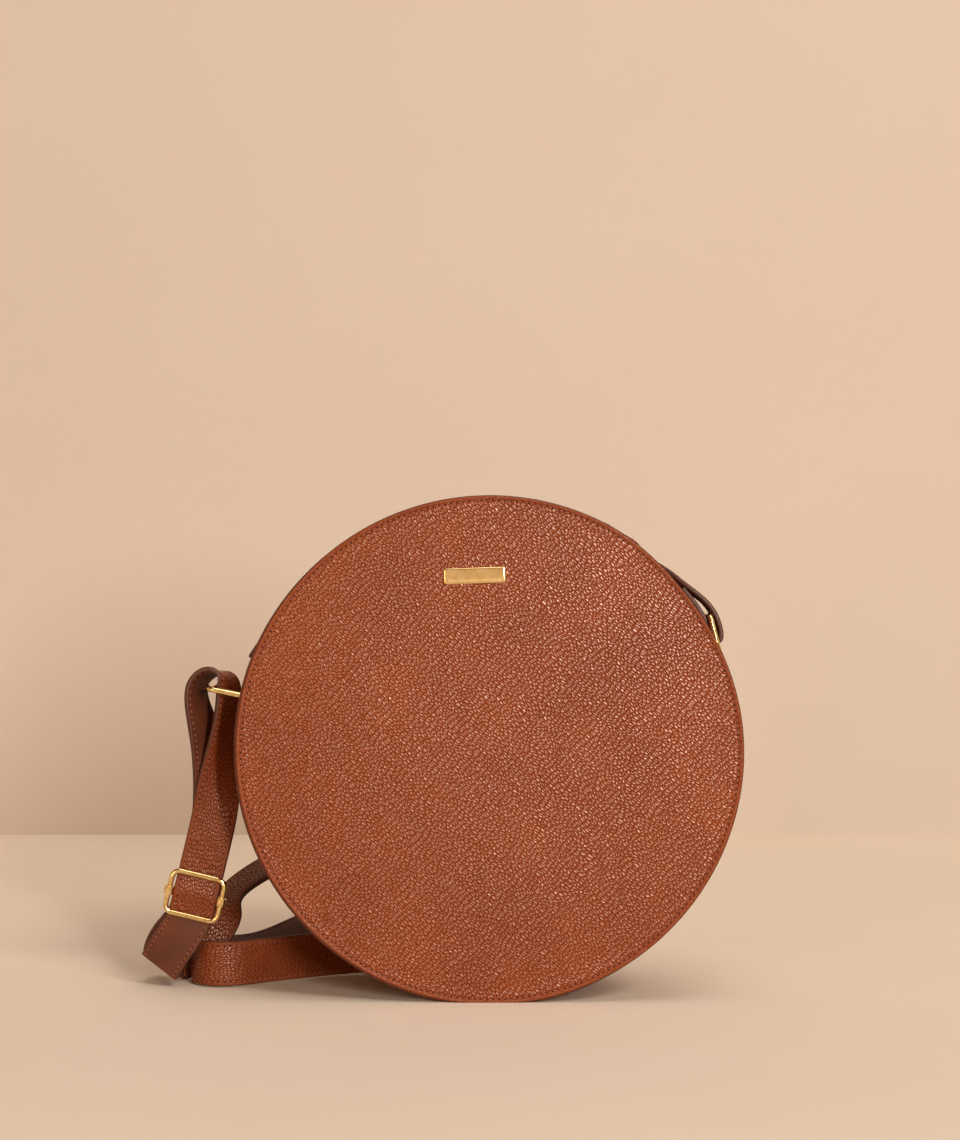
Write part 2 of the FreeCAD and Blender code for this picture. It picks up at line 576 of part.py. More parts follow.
# The plate on the front: a blank bar with two prongs through the leather, clinched over washers.
plate = doc.addObject("PartDesign::Body", "plate_body")
corners = [
    ("-[plate_width] / 2", "[plate_corner] - [plate_height] / 2"),
    ("[plate_corner] - [plate_width] / 2", "-[plate_height] / 2"),
    ("[plate_width] / 2 - [plate_corner]", "-[plate_height] / 2"),
    ("[plate_width] / 2", "[plate_corner] - [plate_height] / 2"),
    ("[plate_width] / 2", "[plate_height] / 2 - [plate_corner]"),
    ("[plate_width] / 2 - [plate_corner]", "[plate_height] / 2"),
    ("[plate_corner] - [plate_width] / 2", "[plate_height] / 2"),
    ("-[plate_width] / 2", "[plate_height] / 2 - [plate_corner]"),
]
plate_sketch = outline(plate, "XZ_Plane", corners)
plate_pad = plate.newObject("PartDesign::Pad", "plate_pad")
plate_pad.Profile = plate_sketch
bind(plate_pad, Length="[plate_skin]")
share = 1.0 - ((val("plate_radius") - val("plate_height") / 2) / seat_r) ** 2
plate_back = half_depth + val("panel_crown") * share + 0.05
plate.Placement = FreeCAD.Placement(FreeCAD.Vector(plate_x, -plate_back, plate_z), plate_tilt)
prongs = []
leather_in = half_depth - val("panel_skin") + val("panel_crown") * (1.0 - (val("plate_radius") / seat_r) ** 2)
washer_back = leather_in - val("washer_skin") - val("clinch_gap")
for index, point in enumerate(prong_at):
    tip = FreeCAD.Vector(point.x, -washer_back, point.z)
    prongs.append(rod("prong_%d" % index, "[prong_size] / 2", "%f" % (plate_back + 0.3 - washer_back),
                      FreeCAD.Placement(tip, face_front)))
keep(fuse("plate_fuse", [plate] + prongs), "blank_plate")
washers = []
for index, point in enumerate(prong_at):
    place = FreeCAD.Placement(FreeCAD.Vector(point.x, -washer_back, point.z), face_front)
    disc = rod("washer_disc_%d" % index, "[washer_size] / 2", "[washer_skin]", place)
    eye = rod("washer_eye_%d" % index, "[prong_size] / 2 + 0.02", "[washer_skin]", place)
    washers.append(cut("washer_%d" % index, disc, eye))
keep(fuse("washer_fuse", washers), "plate_washers")

# The slip pocket: fabric sewn to the rear lining on three sides.
pocket = doc.addObject("Part::Box", "pocket")
bind(pocket, Length="[pocket_width]", Width="[lining_skin]", Height="[pocket_height]")
pocket_y = lining_face - val("lining_skin") - val("layer_gap")
pocket.Placement.Base = FreeCAD.Vector(-val("pocket_width") / 2, pocket_y, centre_z - val("pocket_height") * 0.72)
keep(pocket, "slip_pocket")


# The shoulder strap: one flat band from its free tail, up through the adjuster, over the left ring, down through
# the adjuster again, along the floor and up behind the bag to the right ring. A row is a point that steers the
# band's middle and the way its width lies there.
def on_strap(up, ply):
    return adjuster + strap_up * up + to_front * ply


def near_left(dx, y, dz):
    return left_outer + FreeCAD.Vector(dx, y, dz)


def behind(x, dy, z):
    return FreeCAD.Vector(x * val("rim_radius") / 110.0, half_depth + dy, z)


def on_rim(dr, degrees, y):
    return polar(val("rim_radius") + dr, degrees, y)


lie = (strap_across.x, strap_across.y, strap_across.z)
right_r = math.hypot(right_outer.x, right_outer.z - centre_z)
right_deg = math.degrees(math.atan2(right_outer.z - centre_z, right_outer.x))


def near_right(dr, degrees, y):
    return polar(right_r + dr, right_deg + degrees, y)


ROUTE = [
    (near_left(-23.5, 6.5, -125.45), (0.85, -0.28, -0.45)),
    (near_left(-19.7, 3.6, -118.75), (0.88, -0.20, -0.42)),
    (near_left(-14.0, 0.4, -110.95), (0.94, -0.08, -0.32)),
    (on_strap(-11, 0), lie),
    (on_strap(0, 0), lie),
    (on_strap(13, 0), lie),
    (on_strap(26, 0), lie),
    (on_strap(38, 0), lie),
    (near_left(3.4, -0.8, -46.35), (0.92, 0.30, -0.20)),
    (near_left(6.2, -0.3, -30.35), (0.74, 0.66, -0.15)),
    (near_left(7.6, 0.0, -16.35), (0.48, 0.87, -0.10)),
    (near_left(8.6, 0.0, -4.35), (0.42, 0.90, -0.12)),
    (near_left(8.1, 0.0, 5.65), (0.38, 0.90, -0.20)),
    (near_left(-0.4, 0.0, 8.05), (0.28, 0.94, -0.15)),
    (near_left(-7.5, 0.0, 1.15), (0.27, 0.96, -0.06)),
    (near_left(-5.2, 0.3, -10.85), (0.46, 0.88, -0.06)),
    (near_left(-1.0, 1.6, -25.35), (0.64, 0.76, -0.10)),
    (near_left(1.8, 3.2, -40.35), (0.86, 0.48, -0.15)),
    (on_strap(38, rear_ply), lie),
    (on_strap(26, rear_ply), lie),
    (on_strap(13, rear_ply), lie),
    (on_strap(0, rear_ply), lie),
    (on_strap(-11, rear_ply), lie),
    (near_left(-17.9, 6.8, -111.85), (0.94, -0.02, -0.34)),
    (near_left(-22.4, 13.0, -120.75), (0.91, -0.05, -0.41)),
    (near_left(-23.9, 21.0, -127.75), (0.88, 0.0, -0.47)),
    (near_left(-17.9, 29.5, -127.15), (0.82, -0.10, -0.55)),
    (near_left(-6.4, 33.0, -117.85), (0.76, -0.12, -0.64)),
    (behind(-123.0, 1.0, 27.5), (0.76, -0.10, -0.66)),
    (behind(-121.5, 3.5, 37.0), (0.12, -0.93, -0.38)),
    (behind(-108.0, 8.5, 46.8), (0.18, -0.92, -0.36)),
    (behind(-83.0, 16.5, 58.8), (0.20, -0.92, -0.34)),
    (behind(-48.0, 23.0, 78.0), (0.15, -0.95, -0.25)),
    (behind(-22.0, 25.0, 90.0), (0.05, -1.0, -0.15)),
    (behind(0.0, 25.0, 80.0), (0.0, -1.0, 0.0)),
    (behind(-2.0, 25.0, 54.0), (0.0, -1.0, 0.0)),
    (behind(-28.0, 25.0, 40.0), (0.0, -1.0, -0.05)),
    (behind(-58.0, 25.0, 31.0), (0.10, -0.93, -0.32)),
    (behind(-86.0, 22.0, 20.0), (0.16, -0.85, -0.50)),
    (behind(-107.0, 16.5, 9.6), (0.10, -0.86, -0.50)),
    (behind(-124.5, 9.0, 8.9), (0.0, -0.76, -0.65)),
    (behind(-135.5, -5.0, 10.8), (0.0, -0.25, -0.97)),
    (behind(-134.0, -26.0, 10.6), (0.0, 0.0, -1.0)),
    (behind(-118.5, -36.0, 10.6), (0.0, 0.0, -1.0)),
    (behind(-97.0, -18.0, 10.6), (0.0, 0.0, -1.0)),
    (behind(-73.0, -2.0, 10.6), (0.0, 0.0, -1.0)),
    (behind(-48.0, 11.0, 10.6), (0.0, -0.05, -1.0)),
    (behind(-24.0, 16.5, 9.8), (0.0, -0.50, -0.86)),
    (behind(-4.0, 21.0, 6.0), (0.0, -0.90, -0.40)),
    (behind(14.0, 23.0, 2.4), (0.0, -1.0, -0.05)),
    (behind(36.0, 24.0, 0.6), (0.0, -1.0, 0.0)),
    (behind(50.0, 24.0, 16.0), (0.0, -1.0, 0.0)),
    (behind(47.0, 23.5, 52.0), (0.0, -1.0, 0.0)),
    (behind(32.0, 23.0, 92.0), (0.10, -1.0, 0.0)),
    (behind(21.0, 22.0, 130.0), (0.15, -1.0, 0.0)),
    (on_rim(-57.1, 67.8, half_depth + 21.0), (0.15, -1.0, 0.0)),
    (on_rim(-30.7, 67.0, half_depth + 19.5), (0.0, -1.0, 0.05)),
    (on_rim(-5.0, 60.0, half_depth + 16.5), (-0.45, -0.72, 0.25)),
    (on_rim(3.0, 60.0, half_depth + 7.0), (-0.80, -0.45, 0.40)),
    (on_rim(0.9, 54.5, half_depth - 11.0), (-0.60, -0.70, 0.40)),
    (on_rim(-0.8, 47.8, 10.0), (-0.42, -0.82, 0.38)),
    (near_right(-0.6, 12.0, 3.0), (-0.20, -0.95, 0.24)),
    (near_right(0.5, 7.2, 0.6), (-0.06, -1.0, 0.08)),
    (near_right(2.5, 2.4, 0.0), (0.0, -1.0, 0.0)),
    (near_right(2.9, -1.2, 0.0), (0.0, -1.0, 0.0)),
    (near_right(0.5, -6.1, 0.0), (0.0, -1.0, 0.0)),
    (near_right(-2.9, -6.3, 0.0), (0.0, -1.0, 0.0)),
    (near_right(-2.2, -2.0, 0.0), (0.0, -1.0, 0.0)),
    (near_right(-2.5, 2.9, 0.3), (0.0, -1.0, 0.0)),
    (near_right(-1.5, 7.9, 1.6), (-0.10, -1.0, 0.10)),
]
middle = Part.BSplineCurve()
middle.buildFromPoles([point for point, lay in ROUTE], False, 3)
lays = Part.BSplineCurve()
lays.buildFromPoles([FreeCAD.Vector(*lay) for point, lay in ROUTE], False, 3)
spans = len(ROUTE) - 3
SECTIONS_PER_SPAN = 4


def band(first, last):
    """The flat band between two of the route's spans."""
    sections = []
    for index in range(int((last - first) * SECTIONS_PER_SPAN) + 1):
        u = min((first + index / SECTIONS_PER_SPAN) / spans, 1.0)
        point = middle.value(u)
        forward = middle.tangent(u)[0]
        lay = lays.value(u)
        wide = (lay - forward * lay.dot(forward)).normalize() * (val("strap_width") / 2)
        thick = forward.cross(wide).normalize() * (val("strap_skin") / 2)
        ring = [point - wide - thick, point + wide - thick, point + wide + thick, point - wide + thick]
        sections.append(Part.makePolygon(ring + [ring[0]]))
    return Part.makeLoft(sections, True, True)


for label, first, last in (("strap_tail", 0, 6), ("strap_loop_left", 6, 17), ("strap_run", 17, 56),
                           ("strap_loop_right", 56, spans)):
    piece = doc.addObject("Part::Feature", label + "_band")
    piece.Shape = band(first, last)
    keep(piece, label)

doc.recompute()
os.makedirs("parts", exist_ok=True)
for obj in doc.Objects:
    if "Invalid" in obj.State or "Error" in obj.State:
        raise RuntimeError("%s did not compute" % obj.Label)
for obj in NODES:
    if obj.Shape.isNull() or not obj.Shape.isValid():
        raise RuntimeError("%s has no valid shape" % obj.Label)
    obj.Shape.exportStep("parts/%s.step" % obj.Label)
    print("%-18s solids %3d volume %9.1f" % (obj.Label, len(obj.Shape.Solids), obj.Shape.Volume))
print("strap length %.1f" % middle.length())
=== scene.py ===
import math

import bpy
import numpy as np
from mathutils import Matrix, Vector


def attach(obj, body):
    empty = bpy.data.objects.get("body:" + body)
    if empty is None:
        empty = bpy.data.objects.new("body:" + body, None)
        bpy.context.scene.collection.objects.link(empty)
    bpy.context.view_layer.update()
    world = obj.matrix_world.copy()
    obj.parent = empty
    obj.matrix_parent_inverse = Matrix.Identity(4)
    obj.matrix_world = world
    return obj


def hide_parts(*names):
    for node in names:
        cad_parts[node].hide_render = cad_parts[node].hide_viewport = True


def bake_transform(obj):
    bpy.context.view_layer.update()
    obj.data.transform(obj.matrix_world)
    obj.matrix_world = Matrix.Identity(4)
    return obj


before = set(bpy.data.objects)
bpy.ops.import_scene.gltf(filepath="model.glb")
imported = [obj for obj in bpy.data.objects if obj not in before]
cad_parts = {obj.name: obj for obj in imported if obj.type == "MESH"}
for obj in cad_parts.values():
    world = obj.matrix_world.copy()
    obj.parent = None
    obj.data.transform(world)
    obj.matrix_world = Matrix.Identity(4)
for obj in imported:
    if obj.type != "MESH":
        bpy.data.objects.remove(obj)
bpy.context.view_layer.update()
MM = 0.001

# The two rounds: discs of pebbled cowhide over thin padding, with the rim left flat for the seam.
# The cut edge is painted in two coats, and one lockstitch runs round each disc a little inside it.
# The strap, which leans on the rim at the front upper right, has pushed it in a little there.
CENTRE_Z = 109.0
RIM = 110.0
RIM_FACE = 35.0
SKIN = 1.5
SEAT = 103.5
CROWN = 2.5
SEAM = 107.7
SEAM_PITCH = 2.6
SEAM_SUNK = 0.27
GRAIN_SLOPE = math.radians(-42.0)
DENT_AT, DENT_BELOW, DENT_ABOVE, DENT_DEEP = 39.0, 26.0, 15.0, 1.8
WAVE_HIGH = 0.16


def tone(code):
    """A colour written as sRGB hex, as linear RGBA."""
    parts = [int(code[i:i + 2], 16) / 255 for i in (1, 3, 5)]
    return [c / 12.92 if c <= 0.04045 else ((c + 0.055) / 1.055) ** 2.4 for c in parts] + [1.0]


def every(size):
    """The scale of a pattern with this size in millimetres."""
    return 1 / (size * MM)


def join(tree, node, inputs):
    """Sets a node's inputs, or links them to an output; a node stands for its first output."""
    for name, value in inputs.items():
        if isinstance(value, bpy.types.Node):
            value = value.outputs[0]
        if isinstance(value, bpy.types.NodeSocket):
            tree.links.new(value, node.inputs[name])
        else:
            node.inputs[name].default_value = value


def add(tree, kind, inputs=None, stops=(), **settings):
    """Adds a node with its properties, its inputs, and the (position, sRGB hex) stops of its colours."""
    made = tree.nodes.new("ShaderNode" + kind)
    for name, value in settings.items():
        setattr(made, name, value)
    if stops:
        elements = made.color_ramp.elements
        while len(elements) < len(stops):
            elements.new(0.5)
        for element, (place, code) in zip(elements, stops):
            element.position = place
            element.color = tone(code)
    join(tree, made, inputs or {})
    return made


def finish(name, **sockets):
    """A new material with its shader's own sockets set; returns it, its tree and its shader."""
    material = bpy.data.materials.new(name)
    material.use_nodes = True
    tree = material.node_tree
    shader = tree.nodes["Principled BSDF"]
    join(tree, shader, {label.replace("_", " "): value for label, value in sockets.items()})
    return material, tree, shader


def pebbled_cowhide(name, top, body, crease_shade, long_mm, wide_mm, relief_mm, wrinkle):
    """Milled cowhide: drum tumbling leaves soft pebbles and fine wrinkles, glossy on top and dull between,
    with painted shade in the creases.
    """
    material, tree, shader = finish(name, IOR=1.5, Specular_Tint=tone("#FFF3E8"))
    where = add(tree, "TexCoord").outputs["UV"]
    # The pebbles lie along the hide, and their rows wander by a few millimetres.
    drift = add(tree, "TexNoise", {"Vector": where, "Scale": every(14.0), "Detail": 1.0},
                noise_dimensions="2D")
    sway = add(tree, "VectorMath", {0: drift.outputs["Color"], 1: (0.5, 0.5, 0.5)}, operation="SUBTRACT")
    bent = add(tree, "VectorMath", {0: sway, 1: (3 * MM, 3 * MM, 0.0), 2: where}, operation="MULTIPLY_ADD")
    cells = (every(long_mm), every(wide_mm), 1.0)
    laid = add(tree, "VectorMath", {0: bent, 1: cells}, operation="MULTIPLY")
    spread = {"Vector": laid, "Scale": 1.0, "Randomness": 0.85}
    pebble = add(tree, "TexVoronoi", spread, voronoi_dimensions="2D")
    border = add(tree, "TexVoronoi", spread, voronoi_dimensions="2D", feature="DISTANCE_TO_EDGE")
    square = add(tree, "Math", {0: pebble, 1: 2.0}, operation="POWER")
    dome = add(tree, "MapRange", {"Value": square, "From Max": 0.45, "To Min": 1.0, "To Max": 0.0})
    bank = add(tree, "MapRange", {"Value": border, "From Max": 0.34}, interpolation_type="SMOOTHSTEP")
    lump = add(tree, "Mix", {0: 0.3, 2: dome, 3: bank}, data_type="FLOAT")
    # Longer wrinkles cross the pebbles and lift some rows above the others.
    drawn = add(tree, "VectorMath", {0: bent, 1: (every(6.5), every(1.6), 1.0)}, operation="MULTIPLY")
    crumple = add(tree, "TexNoise", {"Vector": drawn, "Scale": 1.0, "Detail": 1.0}, noise_dimensions="2D")
    heap = add(tree, "Math", {0: crumple, 1: wrinkle, 2: lump}, operation="MULTIPLY_ADD")
    ridge = add(tree, "MapRange", {"Value": crumple, "From Min": 0.30, "From Max": 0.66, "To Min": 0.7})
    rise = add(tree, "Math", {0: bank, 1: ridge}, operation="MULTIPLY")
    pores = add(tree, "TexNoise", {"Vector": where, "Scale": every(0.4), "Detail": 2.0},
                noise_dimensions="2D")
    fine = add(tree, "Math", {0: pores, 1: 0.06, 2: heap}, operation="MULTIPLY_ADD")
    # Along seams and edges the leather has been pressed, and the grain is flat.
    smooth = add(tree, "Attribute", attribute_name="smooth").outputs["Fac"]
    flat = add(tree, "Math", {0: 1.0, 1: smooth}, operation="SUBTRACT")
    height = add(tree, "Math", {0: fine, 1: flat}, operation="MULTIPLY")
    bump = add(tree, "Bump", {"Height": height, "Distance": relief_mm * MM, "Strength": 1.0})
    level = add(tree, "Mix", {0: smooth, 2: rise, 3: 0.40}, data_type="FLOAT")
    # Painted shade: the colour darkens from the pebble tops into the creases, and the specular level drops
    # there too, for the shade that falls in them.
    grain_and_crease_shade = add(tree, "ValToRGB", {"Fac": level}, [(0.12, crease_shade), (0.5, body), (0.88, top)])
    cloud = add(tree, "TexNoise", {"Vector": where, "Scale": every(35.0), "Detail": 3.0},
                noise_dimensions="2D")
    shade = add(tree, "ValToRGB", {"Fac": cloud}, [(0.3, "#E4DED9"), (0.7, "#FFFFFF")])
    colour = add(tree, "Mix", {0: 0.6, 6: grain_and_crease_shade, 7: shade}, data_type="RGBA", blend_type="MULTIPLY")
    crease_shaded_sheen = add(tree, "MapRange", {"Value": level, "From Min": 0.2, "From Max": 0.9, "To Min": 0.04,
                                   "To Max": 0.9})
    gloss = add(tree, "MapRange", {"Value": level, "To Min": 0.55, "To Max": 0.27})
    dull = add(tree, "Math", {0: smooth, 1: 0.16, 2: gloss}, operation="MULTIPLY_ADD")
    join(tree, shader, {"Base Color": colour.outputs[2], "Normal": bump, "Roughness": dull,
                        "Specular IOR Level": crease_shaded_sheen})
    return material


def brushed_edge(name, colour, dark):
    """Edge paint over cut leather: satin, with the faint ripple that the brush and the ply line leave."""
    material, tree, shader = finish(name, IOR=1.48)
    where = add(tree, "TexCoord").outputs["Object"]
    ripple = add(tree, "TexNoise", {"Vector": where, "Scale": every(1.6), "Detail": 3.0})
    coat = add(tree, "ValToRGB", {"Fac": ripple}, [(0.3, dark), (0.7, colour)])
    bump = add(tree, "Bump", {"Height": ripple, "Distance": 0.12 * MM, "Strength": 0.7})
    shine = add(tree, "MapRange", {"Value": ripple, "To Min": 0.38, "To Max": 0.55})
    join(tree, shader, {"Base Color": coat, "Normal": bump, "Roughness": shine})
    return material


def bonded_thread(name, light, dark):
    """Bonded polyester sewing thread, three plies twisted: a dull sheen with a fine slanting twist."""
    material, tree, shader = finish(name, IOR=1.5, Roughness=0.55)
    where = add(tree, "TexCoord").outputs["UV"]
    wave = {"Vector": where, "Scale": every(1.2), "Distortion": 0.6}
    twist = add(tree, "TexWave", wave, bands_direction="DIAGONAL").outputs["Fac"]
    plies = add(tree, "ValToRGB", {"Fac": twist}, [(0.2, dark), (0.8, light)])
    bump = add(tree, "Bump", {"Height": twist, "Distance": 0.06 * MM, "Strength": 0.8})
    join(tree, shader, {"Base Color": plies, "Normal": bump})
    return material


def needle_hole_shade(name, colour, dark):
    """Painted shade: a dark disc at a stitch's end stands for the shaded hole in the pierced leather, which
    only shows as a dark dot.
    """
    material, tree, shader = finish(name, IOR=1.45, Roughness=0.8)
    where = add(tree, "TexCoord").outputs["Object"]
    fibre = add(tree, "TexNoise", {"Vector": where, "Scale": every(0.4)})
    dot = add(tree, "ValToRGB", {"Fac": fibre}, [(0.2, dark), (0.9, colour)])
    join(tree, shader, {"Base Color": dot})
    return material


# The third colour is painted shade, laid into the creases between the pebbles.
COWHIDE = pebbled_cowhide("milled_cowhide", "#904422", "#863F1D", "#753618", 2.2, 1.06, 0.16, 0.9)
EDGE = brushed_edge("painted_edge", "#54260F", "#3C190B")
THREAD = bonded_thread("bonded_thread", "#A85A40", "#7C3A26")
# Dark discs painted at the stitch ends as the shade inside the needle holes.
HOLE_SHADE = needle_hole_shade("needle_hole_shade", "#3A170C", "#1E0B05")


def build(name, verts, faces, materials, face_material=None, uv=None, smooth=None, body="bag", stands_for=(),
          slot=None):
    """A mesh piece from points in millimetres in the bag's frame."""
    mesh = bpy.data.meshes.new(name)
    mesh.from_pydata((np.asarray(verts, float) * MM).tolist(), [], faces)
    for material in materials:
        mesh.materials.append(material)
    if face_material is not None:
        mesh.polygons.foreach_set("material_index", np.asarray(face_material, np.int32))
    mesh.polygons.foreach_set("use_smooth", np.ones(len(mesh.polygons), bool))
    corner = np.zeros(len(mesh.loops), np.int32)
    mesh.loops.foreach_get("vertex_index", corner)
    if uv is not None:
        layer = mesh.uv_layers.new(name="lay")
        layer.data.foreach_set("uv", (np.asarray(uv, float) * MM)[corner].astype(np.float32).ravel())
    if smooth is not None:
        marks = mesh.attributes.new("smooth", "FLOAT", "POINT")
        marks.data.foreach_set("value", np.asarray(smooth, np.float32))
    mesh.validate()
    mesh.update()
    piece = bpy.data.objects.new(name, mesh)
    bpy.context.scene.collection.objects.link(piece)
    if body:
        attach(piece, body)
    if stands_for:
        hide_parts(*stands_for)
    return piece


def tube_faces(rows, columns, capped=True):
    """Quads between rows of points, each row closed on itself, and a cap on the first and the last."""
    faces = []
    for i in range(rows - 1):
        for j in range(columns):
            here = i * columns + j
            beside = i * columns + (j + 1) % columns
            faces.append((here, beside, beside + columns, here + columns))
    if capped:
        faces.append(tuple(range(columns))[::-1])
        faces.append(tuple(range((rows - 1) * columns, rows * columns)))
    return faces


def step(low, high, value):
    """A smooth step from 0 at low to 1 at high."""
    share = np.clip((np.asarray(value, float) - low) / (high - low), 0.0, 1.0)
    return share * share * (3 - 2 * share)


def rim_dent(angle, radius, y):
    """How far the rim is pushed in where the strap leans on it."""
    turn = (np.degrees(angle) + 180.0) % 360.0 - 180.0 - DENT_AT
    near = np.exp(-(turn / np.where(turn > 0.0, DENT_ABOVE, DENT_BELOW)) ** 2)
    return DENT_DEEP * near * step(60.0, 108.0, radius) * step(10.0, -25.0, y)


def round_point(y, radius, angle):
    """A point of the drum in millimetres, pressed flat where it stands."""
    radius = radius - rim_dent(angle, radius, y)
    x = radius * np.cos(angle)
    z = np.maximum(CENTRE_Z + radius * np.sin(angle), 0.0)
    return np.stack([x, np.broadcast_to(y, x.shape), z], -1)


def outward_at(angle):
    """The way out from the drum's middle at an angle."""
    return np.stack([np.cos(angle), 0.0 * angle, np.sin(angle)], -1)


def round_at(angle):
    """The way round the drum at an angle."""
    return np.stack([-np.sin(angle), 0.0 * angle, np.cos(angle)], -1)


def stitch_shape(length, thread):
    """One stitch lying along X with its ends pulled into the leather, and a dark disc of painted shade at
    each of its two needle holes.
    """
    stations, around, hole_points = 7, 6, 8
    hole_long, hole_wide, hole_gap, hole_lift = 0.44, 0.40, 0.10, 0.03
    verts, uv = [], []
    for i in range(stations):
        share = i / (stations - 1)
        bulge = math.sin(math.pi * share)
        lift = bulge ** 0.6 * thread * 1.15 - thread * 0.75
        size = thread * (0.55 + 0.45 * bulge ** 0.5)
        for j in range(around):
            turn = 2 * math.pi * j / around
            verts.append(((share - 0.5) * length, size * math.cos(turn), lift + size * math.sin(turn)))
            uv.append((share * length, j * thread))
    faces = tube_faces(stations, around)
    marks = [0] * len(faces)
    # Each needle hole is a flat dark disc, painted shade laid just above the leather.
    for side in (-1, 1):
        middle = side * (length / 2 + hole_gap)
        first = len(verts)
        for j in range(hole_points):
            turn = 2 * math.pi * j / hole_points
            verts.append((middle + hole_long * math.cos(turn), hole_wide * math.sin(turn), hole_lift))
            uv.append((0.0, 0.0))
        faces.append(tuple(range(first, first + hole_points)))
        marks.append(1)
    return np.array(verts), faces, uv, marks


def unit(vectors):
    """The same ways with a length of 1."""
    return vectors / np.linalg.norm(vectors, axis=1, keepdims=True)


def sew(name, places, alongs, outs, length=1.95, thread=0.27, slant=0.10, body="bag"):
    """A row of stitches, each at a place, along one way and standing out another."""
    shape, faces, uv, marks = stitch_shape(length, thread)
    places, alongs, outs = (np.asarray(a, float) for a in (places, alongs, outs))
    turned = unit(alongs + np.cross(outs, alongs) * slant)
    axes = np.stack([turned, np.cross(outs, turned), outs], 1)
    verts = (places[:, None, :] + np.einsum("vk,nkc->nvc", shape, axes)).reshape(-1, 3)
    count = len(shape)
    row = [tuple(index + count * n for index in face) for n in range(len(places)) for face in faces]
    return build(name, verts, row, [THREAD, HOLE_SHADE], marks * len(places), uv * len(places), body=body)


def crown_height(radius):
    """How far the padded face stands out: nearly flat in the middle, rolling down to the seam."""
    share = np.clip(np.asarray(radius, float) / SEAT, 0.0, 1.0)
    return CROWN * (1.0 - share ** 2 * 0.45 - share ** 5 * 0.55)


def seam_groove(radius):
    """The thread pulls the leather in along the seam, and the margin outside it stays slightly full."""
    pulled = 0.30 * np.exp(-((radius - SEAM) / 0.55) ** 2)
    full = 0.14 * np.exp(-((radius - SEAM - 1.3) / 0.5) ** 2)
    return full - pulled


def round_skin(name, way, node):
    """One leather disc; way is -1 for the front one and 1 for the rear one."""
    segments = 288
    face = np.concatenate([np.linspace(3.0, 96.0, 28), np.linspace(98.5, 105.5, 6),
                           np.linspace(106.3, 109.3, 13)])
    face_y = RIM_FACE + crown_height(face) + seam_groove(face)
    edge = RIM - np.array([0.38, 0.14, 0.03, 0.03, 0.14, 0.4])
    edge_y = RIM_FACE - np.array([0.07, 0.28, 0.6, 1.0, 1.25, 1.45])
    back = np.array([108.5, 106.0, SEAT, 90.0, 60.0, 30.0, 3.0])
    back_y = RIM_FACE - SKIN + np.where(back < SEAT, crown_height(back), 0.0)
    radii = np.concatenate([face, edge, back])
    depth = np.concatenate([face_y, edge_y, back_y])
    angle = np.linspace(0, 2 * math.pi, segments, endpoint=False)
    rows = []
    for radius, y in zip(radii, depth):
        ring = round_point(way * y, np.full(segments, radius), angle)
        x, z = ring[:, 0], ring[:, 2]
        wave = np.sin(x / 19.0 + 0.6) * np.sin(z / 23.0) + 0.6 * np.sin((x + z) / 31.0)
        ring[:, 1] += way * WAVE_HIGH * wave * step(104.0, 80.0, radius)
        rows.append(ring)
    count = len(radii)
    faces = tube_faces(count, segments, capped=False)
    painted = range(len(face), len(face) + len(edge) - 1)
    marks = [int(i in painted) for i in range(count - 1) for j in range(segments)]
    middles = [[0, way * (RIM_FACE + CROWN), CENTRE_Z], [0, way * (RIM_FACE - SKIN + CROWN), CENTRE_Z]]
    verts = np.concatenate(rows + [middles])
    front, last = count * segments, (count - 1) * segments
    for j in range(segments):
        beside = (j + 1) % segments
        faces.append((beside, j, front))
        faces.append((last + j, last + beside, front + 1))
        marks += [0, 0]
    if way > 0:
        faces = [corners[::-1] for corners in faces]
    level = np.concatenate([np.repeat(radii, segments), [0, 0]])
    smooth = 0.7 * step(SEAM - 0.3, SEAM + 0.9, level)
    across = -way * verts[:, 0]
    up = verts[:, 2] - CENTRE_Z
    uv = np.stack([across * math.cos(GRAIN_SLOPE) + up * math.sin(GRAIN_SLOPE),
                   up * math.cos(GRAIN_SLOPE) - across * math.sin(GRAIN_SLOPE)], 1)
    return build(name, verts, faces, [COWHIDE, EDGE], marks, uv, smooth, stands_for=[node],
                 slot="cognac_leather")


def seam_row(name, y, out_way):
    """The stitches that show on one side of a rim seam."""
    number = round(2 * math.pi * SEAM / SEAM_PITCH)
    angle = np.linspace(0, 2 * math.pi, number, endpoint=False)
    places = round_point(y, np.full(number, SEAM), angle)
    return sew(name, places, round_at(angle), np.tile([0.0, out_way, 0.0], (number, 1)))


for word, way in (("front", -1), ("rear", 1)):
    round_skin(word + "_round", way, word + "_panel")
    seam_row(word + "_seam_thread", way * (RIM_FACE - SEAM_SUNK), way)

# Inside the rounds: a sheet of soft foam under the leather, a pressed board behind it and a cotton lining.
# The gusset has the same board and lining, and a cotton slip pocket is sewn to the rear lining. The rest is
# glued, and none of it shows while the bag is closed.


def soft_foam():
    """Polyurethane foam sheet: matt, pale and full of fine cells."""
    material, tree, shader = finish("foam_sheet", IOR=1.4, Roughness=0.95)
    where = add(tree, "TexCoord").outputs["Object"]
    cells = add(tree, "TexVoronoi", {"Vector": where, "Scale": every(1.2)})
    pale = add(tree, "ValToRGB", {"Fac": cells}, [(0.0, "#B9B2A2"), (0.6, "#E4DFD2")])
    bump = add(tree, "Bump", {"Height": cells, "Distance": 0.3 * MM})
    join(tree, shader, {"Base Color": pale, "Normal": bump})
    return material


def pressed_board():
    """Recycled fibre board: grey-brown with short fibres pressed flat."""
    material, tree, shader = finish("pressed_board", IOR=1.45, Roughness=0.85)
    where = add(tree, "TexCoord").outputs["Object"]
    fibre = add(tree, "TexNoise", {"Vector": where, "Scale": every(1.5), "Detail": 5.0, "Distortion": 1.5})
    pulp = add(tree, "ValToRGB", {"Fac": fibre}, [(0.3, "#6E5A42"), (0.7, "#94795A")])
    join(tree, shader, {"Base Color": pulp})
    return material


